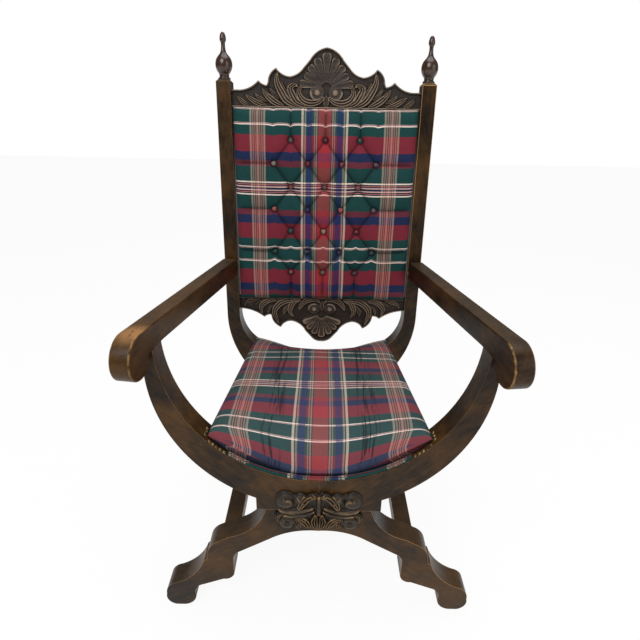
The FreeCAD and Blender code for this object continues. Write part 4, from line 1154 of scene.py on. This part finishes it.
def railRelief(rail, x, z, edge):
    # drawn for the right half, x being the distance from the middle; a rim along the free edge, a fillet
    # along the straight one
    aside, h = np.abs(x), carving["height"]
    return np.max([
        shellFan(aside, z, h, **rail["shell"]), volute(aside, z, h, *rail["volute"]),
        np.clip(rail["rim"] - edge, 0, 1) * h * carving["rimLift"],
        np.clip((rail["fillet"] - z) / 0.8, 0, 1) * h * rail["filletLift"],
        *(leaf(aside, z, width, h * share, points) for width, share, points in rail["leaves"])], axis=0)


def solidPoints(node):
    return np.array([vert.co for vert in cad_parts[node].data.vertices]) / mm


def farthest(at, reach, digits):
    # the greatest reach at each place, the places rounded to so many digits
    spots = np.round(at, digits)
    places = np.unique(spots)
    return places, np.array([reach[spots == spot].max() for spot in places])


def outlineOf(rail):
    # the free edge of a carved rail, read from its CAD solid: the farthest height at each place across
    x, y, z = solidPoints(rail["node"]).T
    turn, depth = lean["rake"], y - lean["frontFace"] - lean["footBack"]
    behind = depth * math.cos(turn) - z * math.sin(turn)
    reach = rail["sign"] * (z * math.cos(turn) + depth * math.sin(turn) - rail["base"])
    keep = (behind < behind.min() + carving["flatFront"]) & (reach > carving["least"])
    return farthest(x[keep], reach[keep], 1)


def edgeDistance(xs, tall, x, z):
    # distance from each point to the free edge's line
    best = np.full(x.shape, farAway)
    fine = np.linspace(xs.min(), xs.max(), carving["fine"])
    heights = np.interp(fine, xs, tall)
    for line in zip(fine[:-1], heights[:-1], fine[1:], heights[1:]):
        close = np.where(np.abs(x[0] - line[0]) < carving["near"])[0]
        best[:, close] = np.minimum(best[:, close], segmentDistance(x[:, close], z[:, close], line)[0])
    return best


def blurred(field, times):
    # neighbours averaged along both ways of the grid
    for _ in range(times):
        padded = np.pad(field, 1, mode="edge")
        field = (padded[:-2, 1:-1] + padded[2:, 1:-1] + padded[1:-1, :-2] + padded[1:-1, 2:] + 2 * field) / 6
    return field


def carvedRail(rail):
    # rows from the straight edge to the free edge, columns across; then over the edge and down the flat back
    xs, tall = outlineOf(rail)
    x = np.linspace(-xs.max(), xs.max(), carving["columns"])
    gridX = np.broadcast_to(x, (carving["rows"], len(x)))
    gridZ = np.linspace(0, 1, carving["rows"])[:, None] * np.interp(x, xs, tall)
    edge = edgeDistance(xs, tall, gridX, gridZ)
    top, ground = carving["height"], carving["ground"]
    h = blurred(railRelief(rail, gridX, gridZ, edge), 1)
    # rub and painted highlight: how far a point stands above its neighbourhood; painted shade: how far below
    lift = (h - blurred(h, carving["soften"])) / top
    rubHighlight = (np.clip(carving["rubHighlightFrom"] + carving["rubHighlightGain"] * lift, 0, 1)
           * np.clip(h / top * carving["topGain"] - carving["topFrom"], 0, 1))
    paintedShade = np.clip(carving["shadeFrom"] - h / top - carving["shadeGain"] * lift, 0, 1)
    rounding = np.clip(1 - edge / carving["edgeRound"], 0, 1) ** 2 * carving["edgeDrop"]
    behind = rail["front"] + ground - h * ground / top + rounding
    extra = carving["wallSteps"] + 1
    wallShare = np.linspace(0, 1, extra)[1:, None]
    level = rail["base"] + rail["sign"] * gridZ
    grid = np.concatenate([leaned(gridX, behind, level),
                           leaned(x, behind[-1] + (rail["back"] - behind[-1]) * wallShare, level[-1]),
                           leaned(x, rail["back"], rail["base"])[None]])
    rows, columns = grid.shape[:2]
    index = np.arange(rows * columns).reshape(rows, columns)
    faces = gridFaces(rows, columns, closedAlong=True) + [index[:, 0].tolist(), index[::-1, -1].tolist()]
    material = carvedWood(rail["name"] + "_wood", carving["low"], carving["middle"], carving["high"])
    piece = meshPiece(rail["name"], [grid], faces, material,
                      {"rubHighlight": [rubHighlight, rubHighlight[-1:] * np.linspace(0.5, 0, extra)[:, None]],
                       "paintedShade": [paintedShade, np.zeros((extra, columns))]})
    pointsOutward(piece).data.set_sharp_from_angle(angle=carving["sharp"])
    finished(piece, rail["node"])


carvedRail(crest)
carvedRail(lowerRail)
print("rails carved")


# boss in front of the hub: rolls at the ears, leaves round a middle ridge, scrolls below

boss = dict(
    node="front_boss_carving", level=286.0, thick=14.7, plate=4.2, turns=300, rings=90, roundFrom=0.93,
    roundDrop=0.55, top=13.0, soften=14, rear=-0.05, least=20.0,
    # the high colour is the tan of the rub and painted highlight; the next line sets them and the painted shade
    # in the hollows
    low=(34, 25, 15), middle=(58, 44, 28), high=(150, 120, 80),
    rubHighlightFrom=0.12, rubHighlightOver=2.8, shadeFrom=0.85, shadeOver=3.5, topGain=1.5, topFrom=0.5,
    crescent=dict(x=60, z=24, radius=12, width=2.2, depth=5.5, upTo=66),
    dent=dict(x=62, z=-26, width=5.5, depth=6.5),
    # balls: centre, radius and height; leaves and ridges: width, height and line, ridges with a taper
    balls=[((64.6, 26), 19, 9.5), ((37, 31), 12, 8), ((62, -27), 17, 8.5)],
    leaves=[(8.5, 8.5, [(37, 14), (28, 32), (16, 42), (3, 38)]),
            (7.5, 8.0, [(40, -14), (28, -22), (20, -34), (18, -44)]),
            (6.5, 8.5, [(6, -8), (8, -24), (4, -42)]), (6.0, 7.0, [(44, -20), (40, -32), (38, -42)]),
            (5.0, 7.0, [(70, 0), (80, -10), (80, -24)])],
    ridges=[(5.5, 9.5, [(0, 40), (0, 20), (0, -2)], 0.3),
            (5.6, 8.5, [(12, 12), (28, 5), (47, 1), (66, 3), (83, 8)]),
            (4.6, 7.5, [(10, 2), (26, -7), (48, -10), (68, -8)])])


def bossRelief(x, z):
    # heights in millimetres over the plate; the ears have a groove like a crescent, the scrolls a dent
    aside = np.abs(x)
    bigRoll, smallRoll, scroll = (halfRound(np.hypot(aside - centre[0], z - centre[1]), radius, height)
                                  for centre, radius, height in boss["balls"])
    crescent, dent = boss["crescent"], boss["dent"]
    away = np.hypot(aside - crescent["x"], z - crescent["z"]) - crescent["radius"]
    bigRoll = bigRoll - (crescent["depth"] * np.exp(-(away / crescent["width"]) ** 2)
                         * (aside < crescent["upTo"]))
    away = np.hypot(aside - dent["x"], z - dent["z"])
    scroll = scroll - dent["depth"] * np.exp(-(away / dent["width"]) ** 2)
    return np.max([bigRoll, smallRoll, scroll, *(leaf(aside, z, *row) for row in boss["leaves"]),
                   *(ridge(aside, z, *row) for row in boss["ridges"])], axis=0)


def bossRadius(turn):
    # distance from the boss's middle to its outline in each direction, read from the CAD solid
    x, _, z = solidPoints(boss["node"]).T
    z = z - boss["level"]
    angles, reach = np.arctan2(z, x), np.hypot(x, z)
    outer = reach > boss["least"]
    angles = np.concatenate([angles[outer] + once for once in (-2 * math.pi, 0, 2 * math.pi)])
    return np.interp(turn, *farthest(angles, np.tile(reach[outer], 3), 3))


def makeBoss():
    # polar grid: rings from the middle to the outline, then a wall back to the arch
    columns, level = boss["turns"], boss["level"]
    turn = circle(columns) - math.pi
    radius = bossRadius(turn)
    share = np.linspace(0, 1, boss["rings"])[1:, None]
    x, z = share * radius * np.cos(turn), share * radius * np.sin(turn)
    rounding = ease(share, boss["roundFrom"], 1 - boss["roundFrom"]) ** 2
    out = np.minimum((boss["plate"] + bossRelief(x, z)) * (1 - boss["roundDrop"] * rounding), boss["thick"])
    lift = out - blurred(out, boss["soften"])
    height = out / boss["top"]
    # rub with painted highlight on high places, painted shade below them and on the side wall
    rubHighlight = (np.clip(boss["rubHighlightFrom"] + lift / boss["rubHighlightOver"], 0, 1)
           * np.clip(height * boss["topGain"] - boss["topFrom"], 0, 1))
    paintedShade = np.clip(boss["shadeFrom"] - height - lift / boss["shadeOver"], 0, 1)
    places = [upright(x, -out, z + level), upright(x[-1], boss["rear"], z[-1] + level),
              upright(0, np.array([-out[0].mean(), boss["rear"]]), level)]
    middle = (len(share) + 1) * columns
    faces = gridFaces(len(share) + 1, columns, closedAcross=True) + fan(middle, 0, columns, flipped=True)
    faces += fan(middle + 1, middle - columns, columns)
    material = carvedWood("carved_boss_wood", boss["low"], boss["middle"], boss["high"])
    piece = meshPiece("carved_boss", places, faces, material,
                      {"rubHighlight": [rubHighlight, np.zeros(columns), [rubHighlight[0].mean(), 0]],
                       "paintedShade": [paintedShade, np.full(columns, 0.5), [paintedShade[0].mean(), 0]]})
    finished(pointsOutward(piece), boss["node"])


makeBoss()
print("boss carved")


# floor, lamps and world

stage = dict(
    floorHalf=7.0, floor=(0.88, 0.88, 0.87, 1), white=(1, 1, 1, 1), lift=1.0, share=0.92,
    world=0.5, dimmer=0.34,
    lamps=[dict(name="key", place=(-1.1, -2.2, 2.9), aim=(0, 0, 0.6), size=2.2, power=60),
           dict(name="fill", place=(2.4, -1.6, 1.6), aim=(0, 0, 0.6), size=2.4, power=20),
           dict(name="top", place=(0.2, 0.4, 3.2), aim=(0, 0, 0.5), size=2.6, power=38)])


def makeFloor():
    # a plain square under the chair; to camera, mirror and glass rays it is part lit, part even light
    finish = Finish("pale_floor")
    seen = finish.node("LightPath", output="Is Camera Ray")
    seen = (seen + seen.sibling("Is Glossy Ray") + seen.sibling("Is Transmission Ray")).calc("MINIMUM", 1.0)
    lit = finish.node("BsdfDiffuse", {}, {"Color": stage["floor"]})
    even = finish.node("Emission", {}, {"Color": stage["white"], "Strength": stage["lift"]})
    shader = finish.node("MixShader", {}, {0: seen * stage["share"], 1: lit, 2: even})
    finish.node("OutputMaterial", {}, {"Surface": shader})
    half = stage["floorHalf"]
    corners = [(-half, -half, 0), (half, -half, 0), (half, half, 0), (-half, half, 0)]
    meshPiece("floor", [corners], [[0, 1, 2, 3]], finish.made, smooth=False)


def makeWorld():
    # white to the camera, dimmer as light and dimmer still in mirrors
    finish = Finish("studio", "worlds")
    seen = finish.node("LightPath", output="Is Camera Ray")
    strength = seen * (1 - stage["world"]) - seen.sibling("Is Glossy Ray") * stage["dimmer"] + stage["world"]
    shade = finish.node("Background", {}, {"Color": stage["white"], "Strength": strength})
    finish.node("OutputWorld", {}, {"Surface": shade})
    scene.world = finish.made


def makeLamp(name, place, aim, size, power):
    data = bpy.data.lights.new(name, "AREA")
    data.shape, data.size, data.energy = "DISK", size, power
    holder = bpy.data.objects.new(name, data)
    holder.location = place
    holder.rotation_euler = (Vector(aim) - Vector(place)).to_track_quat("-Z", "Y").to_euler()
    scene.collection.objects.link(holder)


makeFloor()
makeWorld()
for lamp in stage["lamps"]:
    makeLamp(**lamp)
scene.view_settings.view_transform = "Standard"
print("stage lit")
